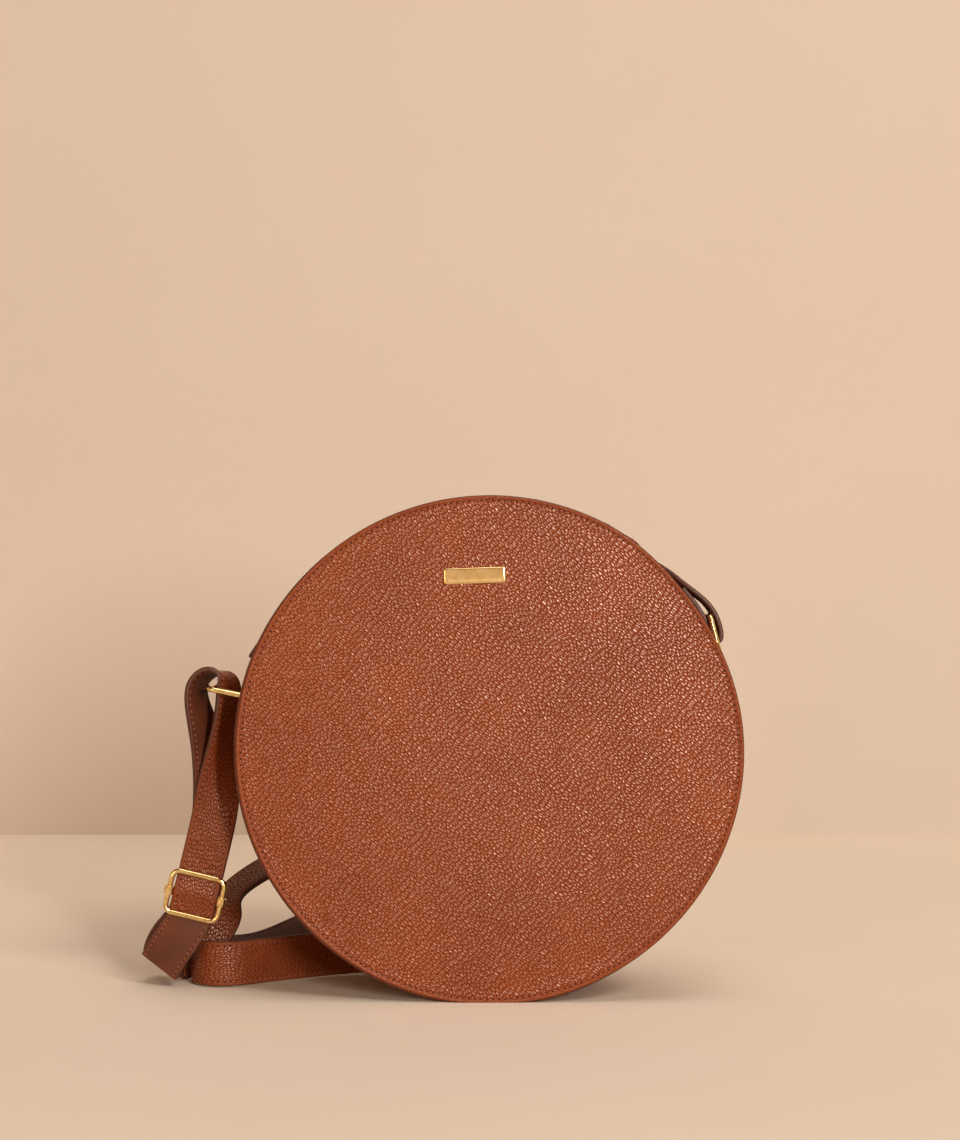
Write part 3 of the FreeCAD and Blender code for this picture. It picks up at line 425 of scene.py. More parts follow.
def plain_cotton(name, light, dark, thread_mm):
    """Plain-weave cotton: warp and weft cross over and under, drawn three times as coarse to show."""
    coarse = 20.0
    material, tree, shader = finish(name, IOR=1.5, Roughness=0.9)
    where = add(tree, "TexCoord").outputs["Object"]
    threads = {"Vector": where, "Scale": every(coarse * thread_mm)}
    warp = add(tree, "TexWave", threads, bands_direction="X").outputs["Fac"]
    weft = add(tree, "TexWave", threads, bands_direction="Z").outputs["Fac"]
    both = add(tree, "Math", {0: warp, 1: weft}, operation="MULTIPLY")
    weave = add(tree, "ValToRGB", {"Fac": both}, [(0.0, dark), (0.8, light)])
    bump = add(tree, "Bump", {"Height": both, "Distance": 0.15 * MM})
    join(tree, shader, {"Base Color": weave, "Normal": bump})
    return material


FOAM = soft_foam()
BOARD = pressed_board()
COTTON = plain_cotton("lining_cotton", "#B59A72", "#7F6747", 0.6)


def dress(node, material, bevel=0.0):
    """Gives a part that keeps its solid shape a finish, and eases its sharp edges."""
    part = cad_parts[node]
    part.data.materials.clear()
    part.data.materials.append(material)
    if bevel:
        ease = part.modifiers.new("eased", "BEVEL")
        ease.width = bevel * MM
        ease.segments = 3
        ease.limit_method = "ANGLE"
        ease.angle_limit = math.radians(40)
    return part


for word in ("front", "rear"):
    dress(word + "_padding", FOAM)
    dress(word + "_board", BOARD)
    dress(word + "_lining", COTTON)
dress("gusset_stiffener", BOARD)
dress("gusset_lining", COTTON)
dress("slip_pocket", COTTON)

# The gusset and the two zip strips: bands of the same cowhide, their edges turned out under the rounds and
# sewn through with them. The strips' inner edges are painted and topstitched to the zip tape.
GUSSET = 106.5
GUSSET_INSIDE = 104.95
FLANGE = 31.9
FOLD = 2.2
PROUD = 0.75
SEAM_LEFT = 166.0
SEAM_RIGHT = 24.0
ZIP_EDGE = 7.0
ZIP_SEAM = 9.2
WEB_OUTSIDE, WEB_INSIDE = 26.0, 28.0
REARWARD = np.array([0.0, 1.0, 0.0])
LIP = [(2.5, 0.0, 0), (1.2, 0.0, 0), (0.5, 0.05, 1), (0.1, 0.35, 1), (0.0, 0.8, 1), (0.1, 1.3, 1)]


def flange_profile(way):
    """Half of the gusset's section, as (y, radius, finish) from the web out to the edge and back inside."""
    seat = RIM_FACE - SKIN
    bend = [(FLANGE - FOLD + FOLD * math.sin(t), GUSSET + FOLD - FOLD * math.cos(t), 0)
            for t in np.linspace(0.0, math.pi / 2, 6)]
    rim = [(FLANGE, RIM - 0.8, 0), (FLANGE + 0.12, RIM - 0.25, 1), (FLANGE + 0.4, RIM, 1),
           (seat - 0.4, RIM, 1), (seat - 0.1, RIM - 0.25, 1)]
    inner = [(seat - 0.03, RIM - 1.0, 0), (seat - 0.03, GUSSET - 0.3, 0), (seat - 0.4, GUSSET - 1.3, 0),
             (seat - 1.3, GUSSET_INSIDE, 0)]
    return [(way * y, r, mark) for y, r, mark in bend + rim + inner]


def standing_proud(angle, radius, y):
    """The turned edge is cut a little larger than the round, and shows past it at the left and below."""
    degrees = np.degrees(angle) % 360
    side = step(120.0, 165.0, degrees) * step(315.0, 280.0, degrees)
    return PROUD * side * step(RIM - 1.5, RIM, radius) * step(0.0, -20.0, y)


def distance_along(points):
    """How far each point lies along the line through them."""
    return np.concatenate([[0.0], np.cumsum(np.linalg.norm(np.diff(points, axis=0), axis=1))])


def band(name, profile, start, end, node, count):
    """A band of leather round the drum with a closed section."""
    angle = np.radians(np.linspace(start, end, count))
    rows = []
    for y, radius, mark in profile:
        grown = radius + standing_proud(angle, np.full(count, radius), np.full(count, y))
        rows.append(round_point(np.full(count, y), grown, angle))
    verts = np.stack(rows, 1).reshape(-1, 3)
    size = len(profile)
    painted = [mark for y, radius, mark in profile]
    marks = [int(painted[j] and painted[(j + 1) % size]) for i in range(count - 1) for j in range(size)]
    marks += [1, 1]
    run = distance_along([(y, radius) for y, radius, mark in profile])
    uv = np.stack([np.repeat(angle * GUSSET, size), np.tile(run, count)], 1)
    smooth = np.tile(np.array(painted, float), count)
    return build(name, verts, tube_faces(count, size), [COWHIDE, EDGE], marks, uv, smooth, stands_for=[node],
                 slot="cognac_leather")


inside = [(y, GUSSET_INSIDE, 0) for y in np.linspace(WEB_INSIDE, -WEB_INSIDE, 15)]
outside = [(y, GUSSET, 0) for y in np.linspace(-WEB_OUTSIDE, WEB_OUTSIDE, 14)]
rear_half = flange_profile(1)
front_half = flange_profile(-1)
band("gusset", inside[7:] + front_half[::-1] + outside + rear_half + inside[:7], SEAM_LEFT, 360 + SEAM_RIGHT,
     "gusset_band", 240)
for word, way, half in (("front", -1, front_half), ("rear", 1, rear_half)):
    lip = [(way * (ZIP_EDGE + over), GUSSET - deep, mark) for over, deep, mark in LIP]
    heel = (way * (ZIP_EDGE + 0.6), GUSSET_INSIDE, 0)
    web = [(way * y, GUSSET, 0) for y in np.linspace(12.0, WEB_INSIDE, 5)]
    under = [(way * y, GUSSET_INSIDE, 0) for y in np.linspace(WEB_INSIDE, 10.0, 5)]
    band("zip_strip_" + word + "_leather", lip[::-1] + web + half + under + [heel], SEAM_RIGHT, SEAM_LEFT,
         "zip_strip_" + word, 160)
    seam_row("flange_" + word + "_thread", way * (FLANGE + 0.03), -way)


def arc_row(name, y, start, end, radius):
    """Stitches along the gusset at one distance from the middle."""
    number = int(math.radians(abs(end - start)) * radius / SEAM_PITCH)
    angle = np.radians(np.linspace(start, end, number))
    places = round_point(np.full(number, y), np.full(number, radius), angle)
    return sew(name, places, round_at(angle), outward_at(angle))


def cross_row(name, angle, radius, low, high):
    """Stitches across the gusset at one angle."""
    number = int((high - low) / SEAM_PITCH) + 1
    spot = np.full(number, math.radians(angle))
    places = round_point(np.linspace(low, high, number), np.full(number, radius), spot)
    return sew(name, places, np.tile(REARWARD, (number, 1)), outward_at(spot))


for word, way in (("front", -1), ("rear", 1)):
    arc_row("zip_" + word + "_thread", way * ZIP_SEAM, SEAM_RIGHT + 1.4, SEAM_LEFT - 1.4, GUSSET + 0.02)
for word, angle in (("left", SEAM_LEFT + 1.3), ("right", SEAM_RIGHT - 1.3)):
    cross_row("gusset_" + word + "_seam_thread", angle, GUSSET + 0.02, -WEB_INSIDE, WEB_INSIDE)

# The zip: woven tape, brass teeth clamped on its beaded edge, end stops, and a slider with a leather pull.
# The tapes lie under the strips; the slider's bridge carries the pull on a riveted pin.


def woven_tape():
    """Polyester zip tape: a tight dull herringbone with ribs, drawn two or three times as coarse to show."""
    coarse = 6.28
    material, tree, shader = finish("woven_zip_tape", IOR=1.5, Roughness=0.8)
    where = add(tree, "TexCoord").outputs["UV"]
    ribs = add(tree, "TexWave", {"Vector": where, "Scale": every(coarse * 0.9)}, bands_direction="Y")
    slant = add(tree, "TexWave", {"Vector": where, "Scale": every(coarse * 0.8)}, bands_direction="DIAGONAL")
    weave = add(tree, "Math", {0: ribs.outputs["Fac"], 1: slant.outputs["Fac"]}, operation="MULTIPLY")
    dyed = add(tree, "ValToRGB", {"Fac": weave}, [(0.0, "#3A1C10"), (0.7, "#6B3A24")])
    bump = add(tree, "Bump", {"Height": weave, "Distance": 0.12 * MM})
    join(tree, shader, {"Base Color": dyed, "Normal": bump})
    return material


def polished_brass(name, light, deep, rough):
    """Zinc castings and wire plated with pale gold brass, tumbled and lacquered: bright, with fine scuffs."""
    material, tree, shader = finish(name, Metallic=1.0)
    where = add(tree, "TexCoord").outputs["Object"]
    stain = add(tree, "TexNoise", {"Vector": where, "Scale": every(4.0), "Detail": 4.0})
    gold = add(tree, "ValToRGB", {"Fac": stain}, [(0.3, deep), (0.65, light)])
    scuff = add(tree, "TexNoise", {"Vector": where, "Scale": every(0.9), "Detail": 6.0, "Distortion": 2.0})
    haze = add(tree, "MapRange", {"Value": scuff, "From Min": 0.35, "From Max": 0.75, "To Min": rough,
                                  "To Max": rough + 0.09})
    bump = add(tree, "Bump", {"Height": scuff, "Distance": 0.015 * MM, "Strength": 0.5})
    join(tree, shader, {"Base Color": gold, "Normal": bump, "Roughness": haze})
    return material


TAPE = woven_tape()
BRASS = polished_brass("polished_brass", "#EED49A", "#D3AE6C", 0.09)
POLISH = polished_brass("mirror_brass", "#EFD59B", "#DDB878", 0.06)
TAPE_TOP = 104.8
TAPE_POINTS = 150
TAPE_SECTION = [(1.2, 0.3), (1.25, 0.02), (1.6, 0.0), (2.2, 0.05), (6.0, 0.0), (10.0, 0.0), (15.2, 0.0),
                (15.2, 0.6), (1.5, 0.6)]
for word, way in (("front", -1), ("rear", 1)):
    angle = np.radians(np.linspace(SEAM_RIGHT, SEAM_LEFT, TAPE_POINTS))
    rows = [round_point(np.full(TAPE_POINTS, way * y), np.full(TAPE_POINTS, TAPE_TOP - deep), angle)
            for y, deep in TAPE_SECTION]
    size = len(TAPE_SECTION)
    faces = tube_faces(TAPE_POINTS, size)
    if way < 0:
        faces = [corners[::-1] for corners in faces]
    across = np.tile([y for y, deep in TAPE_SECTION], TAPE_POINTS)
    uv = np.stack([np.repeat(angle * TAPE_TOP, size), across], 1)
    build("zip_" + word + "_tape", np.stack(rows, 1).reshape(-1, 3), faces, [TAPE], None, uv,
          stands_for=["zip_tape_" + word], slot="zip_tape_weave")
for node in ("zip_teeth_front", "zip_teeth_rear", "zip_stops", "zip_slider_body", "zip_pull_link"):
    dress(node, BRASS, 0.22)
PULL_LONG = 17.5
PULL_WIDE = 10.0
PULL_CORNER = 2.5
PULL_START = 10.1
PULL_RADIUS = 109.7
PULL_ANGLE = math.radians(146.0)
PULL_SEAM, PULL_SEAM_OUT, PULL_PITCH = 1.6, 1.13, 2.2
PULL_HALF = [(3.4, 1.30, 0), (2.2, 1.28, 0), (1.6, 1.12, 0), (1.0, 1.26, 0), (0.5, 1.22, 1), (0.15, 1.0, 1),
             (0.0, 0.5, 1)]
OUTLINE = 40
HUB = np.array([0.0, 0.0, CENTRE_Z])


def rounded(length, width, corner):
    """The outline of a rounded oblong, a quarter of its points at each corner."""
    turns = np.radians((np.arange(OUTLINE) + 0.5) * 360.0 / OUTLINE)
    quarter = np.arange(OUTLINE) * 4 // OUTLINE
    mid = np.stack([np.where((quarter == 0) | (quarter == 3), 1, -1) * (length / 2 - corner),
                    np.where(quarter < 2, 1, -1) * (width / 2 - corner)], 1)
    return mid + corner * np.stack([np.cos(turns), np.sin(turns)], 1)


def oblong(name, length, width, corner, rings, start, axes, materials, extra=None, **facts):
    """A rounded oblong built of rings of (inset, height, finish), laid along three axes from a start."""
    local = []
    for inset, height, mark in rings:
        flat = rounded(length - 2 * inset, width - 2 * inset, max(corner - inset, 0.25))
        local.append(np.column_stack([flat, np.full(OUTLINE, height)]))
    local = np.concatenate(local)
    faces = tube_faces(len(rings), OUTLINE)
    marks = [int(low[2] and high[2]) for low, high in zip(rings, rings[1:]) for j in range(OUTLINE)] + [0, 0]
    soft = np.repeat([float(mark) for inset, height, mark in rings], OUTLINE)
    if extra:
        more, more_faces = extra
        faces += [tuple(len(local) + index for index in corners) for corners in more_faces]
        marks += [0] * len(more_faces)
        local = np.concatenate([local, more])
        soft = np.concatenate([soft, np.zeros(len(more))])
    verts = np.asarray(start) + local @ np.asarray(axes)
    return build(name, verts, faces, materials, marks, local[:, :2], soft, **facts)


def follow(spots, run, points):
    """Where the line through some points is, at distances along its run."""
    return np.stack([np.interp(spots, run, points[:, k]) for k in range(points.shape[1])], 1)


pull_along = round_at(PULL_ANGLE)
pull_out = outward_at(PULL_ANGLE)
pull_mid = HUB + PULL_RADIUS * pull_out + (PULL_START + PULL_LONG / 2) * pull_along
pull_rings = [(inset, -high, mark) for inset, high, mark in PULL_HALF] + PULL_HALF[::-1]
oblong("zip_pull_leather", PULL_LONG, PULL_WIDE, PULL_CORNER, pull_rings, pull_mid,
       [pull_along, REARWARD, pull_out], [COWHIDE, EDGE], body="zip_pull", stands_for=["zip_pull_tab"],
       slot="cognac_leather")
outline = rounded(PULL_LONG - 2 * PULL_SEAM, PULL_WIDE - 2 * PULL_SEAM, 1.2)
outline = np.concatenate([outline, outline[:1]])
run_out = distance_along(outline)
spots = np.arange(0.0, run_out[-1] - 1.0, PULL_PITCH)
around = follow(spots, run_out, outline)
ways = unit(follow(spots + 0.2, run_out, outline) - around)
for word, way in (("front", 1), ("back", -1)):
    places = pull_mid + around @ np.array([pull_along, REARWARD]) + way * PULL_SEAM_OUT * pull_out
    sew("zip_pull_" + word + "_thread", places, ways @ np.array([pull_along, REARWARD]),
        np.tile(way * pull_out, (len(spots), 1)), length=1.6, thread=0.22, body="zip_pull")

# The ring tabs: short straps of cowhide folded round a ring's bar, skived thin at the fold and sewn to the
# gusset. The rings are brass wire bent to an oblong and brazed shut.
TAB_WIDE = 15.4
TAB_SEAM = 6.0
TAB_SEAM_IN = 0.33
RING_BAR = 109.15
TAB_OUTER = [
    (9.3, -0.45), (8.0, -0.30), (6.4, -0.30), (4.8, -0.28), (3.4, -0.1), (2.4, 0.55), (1.6, 1.2),
    (0.75, 1.75), (0.0, 1.9), (-0.8, 1.75), (-1.5, 1.2), (-1.9, 0.35), (-1.95, -0.6), (-1.6, -1.6),
    (-0.8, -2.35), (0.4, -2.58), (3.0, -2.6), (6.4, -2.6), (9.3, -2.6)]
TAB_INNER = [
    (9.3, -1.40), (8.0, -1.38), (6.4, -1.36), (4.8, -1.3), (3.0, -1.0), (1.6, -0.2), (1.25, 0.4),
    (0.65, 1.14), (0.0, 1.31), (-0.65, 1.14), (-1.14, 0.65), (-1.31, 0.1), (-1.27, -0.35), (-1.05, -0.8),
    (-0.5, -1.22), (0.6, -1.38), (3.0, -1.42), (6.4, -1.44), (9.3, -1.44)]
TAB_ACROSS = [(-1.0, 0.24), (-0.985, 0.08), (-0.94, 0.0), (-0.7, 0.0), (-0.35, 0.0), (0.0, 0.0), (0.35, 0.0),
              (0.7, 0.0), (0.94, 0.0), (0.985, 0.08), (1.0, 0.24)]


def ring_tab(word, degrees, way):
    """One folded tab; way is the side of the bar that its two plies lie on."""
    turn = math.radians(degrees)
    out, back = outward_at(turn), way * round_at(turn)
    outer, inner = np.array(TAB_OUTER), np.array(TAB_INNER)
    middle = (outer + inner) / 2
    around = distance_along(outer)
    verts, uv, soft = [], [], []
    for share, thin in TAB_ACROSS:
        y = share * TAB_WIDE / 2
        near = np.concatenate([outer + (middle - outer) * thin, (inner + (middle - inner) * thin)[::-1]])
        sag = np.maximum(near[:, 0], 0.0) ** 2 / (2 * RING_BAR)
        bowed = np.maximum(near[:, 1], GUSSET + 0.03 - RING_BAR) - sag
        verts.append(HUB + out * (RING_BAR + bowed[:, None]) + back * near[:, :1] + REARWARD * y)
        uv += [(s, y) for s in around] + [(s, y + 30.0) for s in around[::-1]]
        soft += [step(TAB_SEAM - 0.4, TAB_SEAM + 0.6, abs(y))] * len(near)
    size = 2 * len(outer)
    edge = len(outer) - 1
    spans = len(TAB_ACROSS) - 1
    faces = tube_faces(spans + 1, size, capped=False)
    cut = (0, 1, spans - 2, spans - 1)
    marks = [int(i in cut or j in (edge, size - 1)) for i in range(spans) for j in range(size)]
    last = spans * size
    for j in range(edge):
        faces.append((j, size - 1 - j, size - 2 - j, j + 1))
        faces.append((last + j + 1, last + size - 2 - j, last + size - 1 - j, last + j))
        marks += [1, 1]
    if way > 0:
        faces = [corners[::-1] for corners in faces]
    build(word + "_tab_leather", np.concatenate(verts), faces, [COWHIDE, EDGE], marks, uv, soft,
          stands_for=[word + "_tab"], slot="cognac_leather")
    rows = [(u, side * TAB_SEAM, back) for side in (-1, 1) for u in (3.9, 6.1)]
    rows += [(8.2, y, REARWARD) for y in np.linspace(-5.0, 5.0, 5)]
    places = [HUB + out * (RING_BAR - TAB_SEAM_IN - u * u / (2 * RING_BAR)) + back * u + REARWARD * y
              for u, y, along in rows]
    ways = [along for u, y, along in rows]
    sew(word + "_tab_thread", places, ways, np.tile(out, (len(rows), 1)), length=1.7, thread=0.24)


for word, degrees, way in (("left", 168.5, -1), ("right", 21.5, 1)):
    ring_tab(word, degrees, way)
    dress(word + "_ring", BRASS)

# The shoulder strap: pebbled cowhide outside and smooth calf inside, glued, edge painted and sewn along both
# edges. It runs from its free tail up through the adjuster, over the left ring, down through the adjuster
# again, along the floor, and up behind the bag to the right ring.
STRAP_SEAM = 8.0
STRAP_SEAM_OUT = 0.93
TILT = math.radians(13.5)
ADJUSTER = np.array([-131.0, -1.0, 41.8])
STRAP_UP = np.array([math.sin(TILT), 0.0, math.cos(TILT)])
REAR_PLY = 2.6
LIE = (math.cos(TILT), 0.0, -math.sin(TILT))
SWELL_HIGH, SWELL_AT, SWELL_LONG = 1.3, 1.2, 4.2
SETTLE_DEEP = 1.4


def at_adjuster(up, back):
    """A point of the strap beside the adjuster, up along it and back from it."""
    return tuple(ADJUSTER + STRAP_UP * up + REARWARD * back)


def polar(radius, degrees, y):
    """A point at an angle round the drum."""
    return tuple(HUB + radius * outward_at(math.radians(degrees)) + REARWARD * y)


ROUTE = [
    ((-148.1, 6.5, 8.9), (0.85, -0.28, -0.45)),
    ((-144.3, 3.6, 15.6), (0.88, -0.20, -0.42)),
    ((-138.6, 0.4, 23.4), (0.94, -0.08, -0.32)),
    *[(at_adjuster(up, 0), LIE) for up in (-11, 0, 13, 26, 38)],
    ((-121.2, -0.8, 88.0), (0.92, 0.30, -0.20)),
    ((-118.4, -0.3, 104.0), (0.74, 0.66, -0.15)),
    ((-117.0, 0.0, 118.0), (0.48, 0.87, -0.10)),
    ((-116.0, 0.0, 130.0), (0.42, 0.90, -0.12)),
    ((-116.5, 0.0, 140.0), (0.38, 0.90, -0.20)),
    ((-125.0, 0.0, 142.4), (0.28, 0.94, -0.15)),
    ((-132.1, 0.0, 135.5), (0.27, 0.96, -0.06)),
    ((-129.8, 0.3, 123.5), (0.46, 0.88, -0.06)),
    ((-125.6, 1.6, 109.0), (0.64, 0.76, -0.10)),
    ((-122.8, 3.2, 94.0), (0.86, 0.48, -0.15)),
    *[(at_adjuster(up, REAR_PLY), LIE) for up in (38, 26, 13, 0, -11)],
    ((-142.5, 6.8, 22.5), (0.94, -0.02, -0.34)),
    ((-147.0, 13.0, 13.6), (0.91, -0.05, -0.41)),
    ((-148.5, 21.0, 6.6), (0.88, 0.0, -0.47)),
    ((-142.5, 29.5, 7.2), (0.82, -0.10, -0.55)),
    ((-131.0, 33.0, 16.5), (0.76, -0.12, -0.64)),
    ((-123.0, 36.0, 27.5), (0.76, -0.10, -0.66)),
    ((-121.5, 38.5, 37.0), (0.12, -0.93, -0.38)),
    ((-108.0, 43.5, 46.8), (0.18, -0.92, -0.36)),
    ((-83.0, 51.5, 58.8), (0.20, -0.92, -0.34)),
    ((-48.0, 58.0, 78.0), (0.15, -0.95, -0.25)),
    ((-22.0, 60.0, 90.0), (0.05, -1.0, -0.15)),
    ((0.0, 60.0, 80.0), (0.0, -1.0, 0.0)),
    ((-2.0, 60.0, 54.0), (0.0, -1.0, 0.0)),
    ((-28.0, 60.0, 40.0), (0.0, -1.0, -0.05)),
    ((-58.0, 60.0, 31.0), (0.10, -0.93, -0.32)),
    ((-86.0, 57.0, 20.0), (0.16, -0.85, -0.50)),
    ((-107.0, 51.5, 9.6), (0.10, -0.86, -0.50)),
    ((-124.5, 44.0, 8.9), (0.0, -0.76, -0.65)),
    ((-135.5, 30.0, 10.8), (0.0, -0.25, -0.97)),
    ((-134.0, 9.0, 10.6), (0.0, 0.0, -1.0)),
    ((-118.5, -1.0, 10.6), (0.0, 0.0, -1.0)),
    ((-97.0, 17.0, 10.6), (0.0, 0.0, -1.0)),
    ((-73.0, 33.0, 10.6), (0.0, 0.0, -1.0)),
    ((-48.0, 46.0, 10.6), (0.0, -0.05, -1.0)),
    ((-24.0, 51.5, 9.8), (0.0, -0.50, -0.86)),
    ((-4.0, 56.0, 6.0), (0.0, -0.90, -0.40)),
    ((14.0, 58.0, 2.4), (0.0, -1.0, -0.05)),
    ((36.0, 59.0, 0.6), (0.0, -1.0, 0.0)),
    ((50.0, 59.0, 16.0), (0.0, -1.0, 0.0)),
    ((47.0, 58.5, 52.0), (0.0, -1.0, 0.0)),
    ((32.0, 58.0, 92.0), (0.10, -1.0, 0.0)),
    ((21.0, 57.0, 130.0), (0.15, -1.0, 0.0)),
    (polar(52.9, 67.8, 56.0), (0.15, -1.0, 0.0)),
    (polar(79.3, 67.0, 54.5), (0.0, -1.0, 0.05)),
    (polar(105.0, 60.0, 51.5), (-0.45, -0.72, 0.25)),
    (polar(113.0, 60.0, 42.0), (-0.80, -0.45, 0.40)),
    (polar(110.9, 54.5, 24.0), (-0.60, -0.70, 0.40)),
    (polar(109.2, 47.8, 10.0), (-0.42, -0.82, 0.38)),
    (polar(112.3, 42.6, 3.0), (-0.20, -0.95, 0.24)),
    (polar(113.4, 37.8, 0.6), (-0.06, -1.0, 0.08)),
    (polar(115.4, 33.0, 0.0), (0.0, -1.0, 0.0)),
    (polar(115.8, 29.4, 0.0), (0.0, -1.0, 0.0)),
    (polar(113.4, 24.5, 0.0), (0.0, -1.0, 0.0)),
    (polar(110.0, 24.3, 0.0), (0.0, -1.0, 0.0)),
    (polar(110.7, 28.6, 0.0), (0.0, -1.0, 0.0)),
    (polar(110.4, 33.5, 0.3), (0.0, -1.0, 0.0)),
    (polar(111.4, 38.5, 1.6), (-0.10, -1.0, 0.10)),
]
SPANS = len(ROUTE) - 3
FACING_END, TAIL_END, RUN_START, RUN_END = 2, 6, 17, 56


def smooth_line(points):
    """Points along a cubic spline steered by these, evenly spaced in its own measure."""
    curve = bpy.data.curves.new("strap_route", "CURVE")
    curve.dimensions = "3D"
    spline = curve.splines.new("NURBS")
    spline.points.add(len(points) - 1)
    for slot_point, point in zip(spline.points, points):
        slot_point.co = (*point, 1.0)
    spline.order_u = 4
    spline.use_endpoint_u = True
    spline.resolution_u = 10
    guide = bpy.data.objects.new("strap_route", curve)
    bpy.context.scene.collection.objects.link(guide)
    bpy.context.view_layer.update()
    traced = bpy.data.meshes.new_from_object(guide.evaluated_get(bpy.context.evaluated_depsgraph_get()))
    line = np.array([v.co for v in traced.vertices], float)
    bpy.data.meshes.remove(traced)
    bpy.data.objects.remove(guide)
    bpy.data.curves.remove(curve)
    return line


line = smooth_line([point for point, lay in ROUTE])
lays = smooth_line([lay for point, lay in ROUTE])
heading = unit(np.gradient(line, axis=0))
wides = unit(lays - heading * np.sum(lays * heading, axis=1, keepdims=True))
thicks = np.cross(heading, wides)
along = distance_along(line)
order = np.arange(len(line))
# The tail bulges over the adjuster's bar, and the strap settles into the rim on its way to the right ring.
climb = (line - ADJUSTER) @ STRAP_UP
swell = SWELL_HIGH * np.exp(-((climb - SWELL_AT) / SWELL_LONG) ** 2) * (order < len(line) / 10)
outward = (line - HUB) * (1.0 - REARWARD)
crossing = np.degrees(np.arctan2(outward[:, 2], outward[:, 0]))
settle = SETTLE_DEEP * step(60.0, 53.0, crossing) * step(33.0, 41.0, crossing) * step(34.0, 24.0, line[:, 1])
settle *= order > len(line) * (RUN_END + 1) / SPANS
settle *= np.linalg.norm(outward, axis=1) > RIM - 1.5
laid_line = line - REARWARD * swell[:, None] - unit(outward) * settle[:, None]


def smooth_calf(name, light, dark):
    """Smooth calf lining leather: aniline dyed, with hair pores and a soft matt handle."""
    material, tree, shader = finish(name, IOR=1.48)
    where = add(tree, "TexCoord").outputs["UV"]
    pores = add(tree, "TexNoise", {"Vector": where, "Scale": every(0.6), "Detail": 4.0},
                noise_dimensions="2D")
    cloud = add(tree, "TexNoise", {"Vector": where, "Scale": every(18.0), "Detail": 3.0},
                noise_dimensions="2D")
    mixed = add(tree, "Math", {0: pores, 1: 0.4, 2: cloud}, operation="MULTIPLY_ADD")
    dyed = add(tree, "ValToRGB", {"Fac": mixed}, [(0.45, dark), (0.95, light)])
    bump = add(tree, "Bump", {"Height": pores, "Distance": 0.08 * MM, "Strength": 0.6})
    matt = add(tree, "MapRange", {"Value": pores, "To Min": 0.5, "To Max": 0.68})
    join(tree, shader, {"Base Color": dyed, "Normal": bump, "Roughness": matt})
    return material


# The third colour is painted shade, laid into the creases between the pebbles.
STRAP_HIDE = pebbled_cowhide("milled_cowhide_strap", "#863F1F", "#7E3B1A", "#6C3216", 1.9, 1.05, 0.15, 0.4)
CALF = smooth_calf("smooth_calf", "#653016", "#4B200D")
STRAP_HALF = [
    (0.0, -1.12, 0), (3.5, -1.11, 0), (6.8, -1.10, 0), (7.5, -1.06, 0), (STRAP_SEAM, -0.90, 0),
    (8.5, -1.06, 0), (9.2, -1.08, 0), (9.6, -1.0, 1), (9.88, -0.75, 1), (10.0, -0.3, 1), (10.0, 0.3, 1),
    (9.88, 0.75, 1), (9.6, 1.0, 1), (9.2, 1.08, 2), (8.5, 1.06, 2), (STRAP_SEAM, 0.92, 2),
    (7.5, 1.06, 2), (4.0, 1.1, 2)]
strap_section = [(-w, t, mark) for w, t, mark in STRAP_HALF[:0:-1]] + STRAP_HALF + [(0.0, 1.1, 2)]


def station(span):
    """The point of the strap's line at a span of its route."""
    return round(span / SPANS * (len(line) - 1))


def strap_piece(name, first, last, node, body, faced=False):
    """The strap between two spans of its route; its free end, below the adjuster, is faced with calf too."""
    low, high = station(first), station(last)
    count = high + 1 - low
    size = len(strap_section)
    across, depth, kinds = (np.array(column) for column in zip(*strap_section))
    stretch = slice(low, high + 1)
    verts = (laid_line[stretch, None] + wides[stretch, None] * across[None, :, None]
             + thicks[stretch, None] * depth[None, :, None])
    row = []
    for pair in zip(kinds, np.roll(kinds, -1)):
        row.append(1 if pair == (1, 1) else 2 if 2 in pair else 0)
    marks = row * (count - 1) + [1, 1]
    if faced:
        turn = station(FACING_END) - low
        marks[:turn * size] = [mark or 2 for mark in row] * turn
    # The cut ends have points of their own, so that their paint meets the faces at a sharp edge.
    verts = np.concatenate([verts.reshape(-1, 3), verts[0], verts[-1]])
    faces = tube_faces(count, size, capped=False)
    faces.append(tuple(range(count * size, (count + 1) * size))[::-1])
    faces.append(tuple(range((count + 1) * size, (count + 2) * size)))
    stations = np.append(along[stretch], [along[low], along[high]])
    uv = np.stack([np.repeat(stations, size), np.tile(across, count + 2)], 1)
    smooth = np.tile(step(STRAP_SEAM - 0.6, STRAP_SEAM + 0.6, abs(across)), count + 2)
    return build(name, verts, faces, [STRAP_HIDE, EDGE, CALF], marks, uv, smooth, body=body,
                 stands_for=[node], slot="cognac_leather"), low, high


def strap_thread(name, low, high, body):
    """The two rows of stitches along a piece of the strap, on both of its sides."""
    spots = np.arange(along[low] + SEAM_PITCH / 2, along[high] - 0.8, SEAM_PITCH)
    at, wide, thick, ahead = (follow(spots, along, lines) for lines in (laid_line, wides, thicks, heading))
    points, outs = [], []
    for side in (-1, 1):
        for face in (-1, 1):
            points.append(at + wide * STRAP_SEAM * side + thick * STRAP_SEAM_OUT * face)
            outs.append(thick * face)
    ways = np.tile(ahead, (len(points), 1))
    return sew(name, np.concatenate(points), ways, np.concatenate(outs), length=1.9, thread=0.25, body=body)


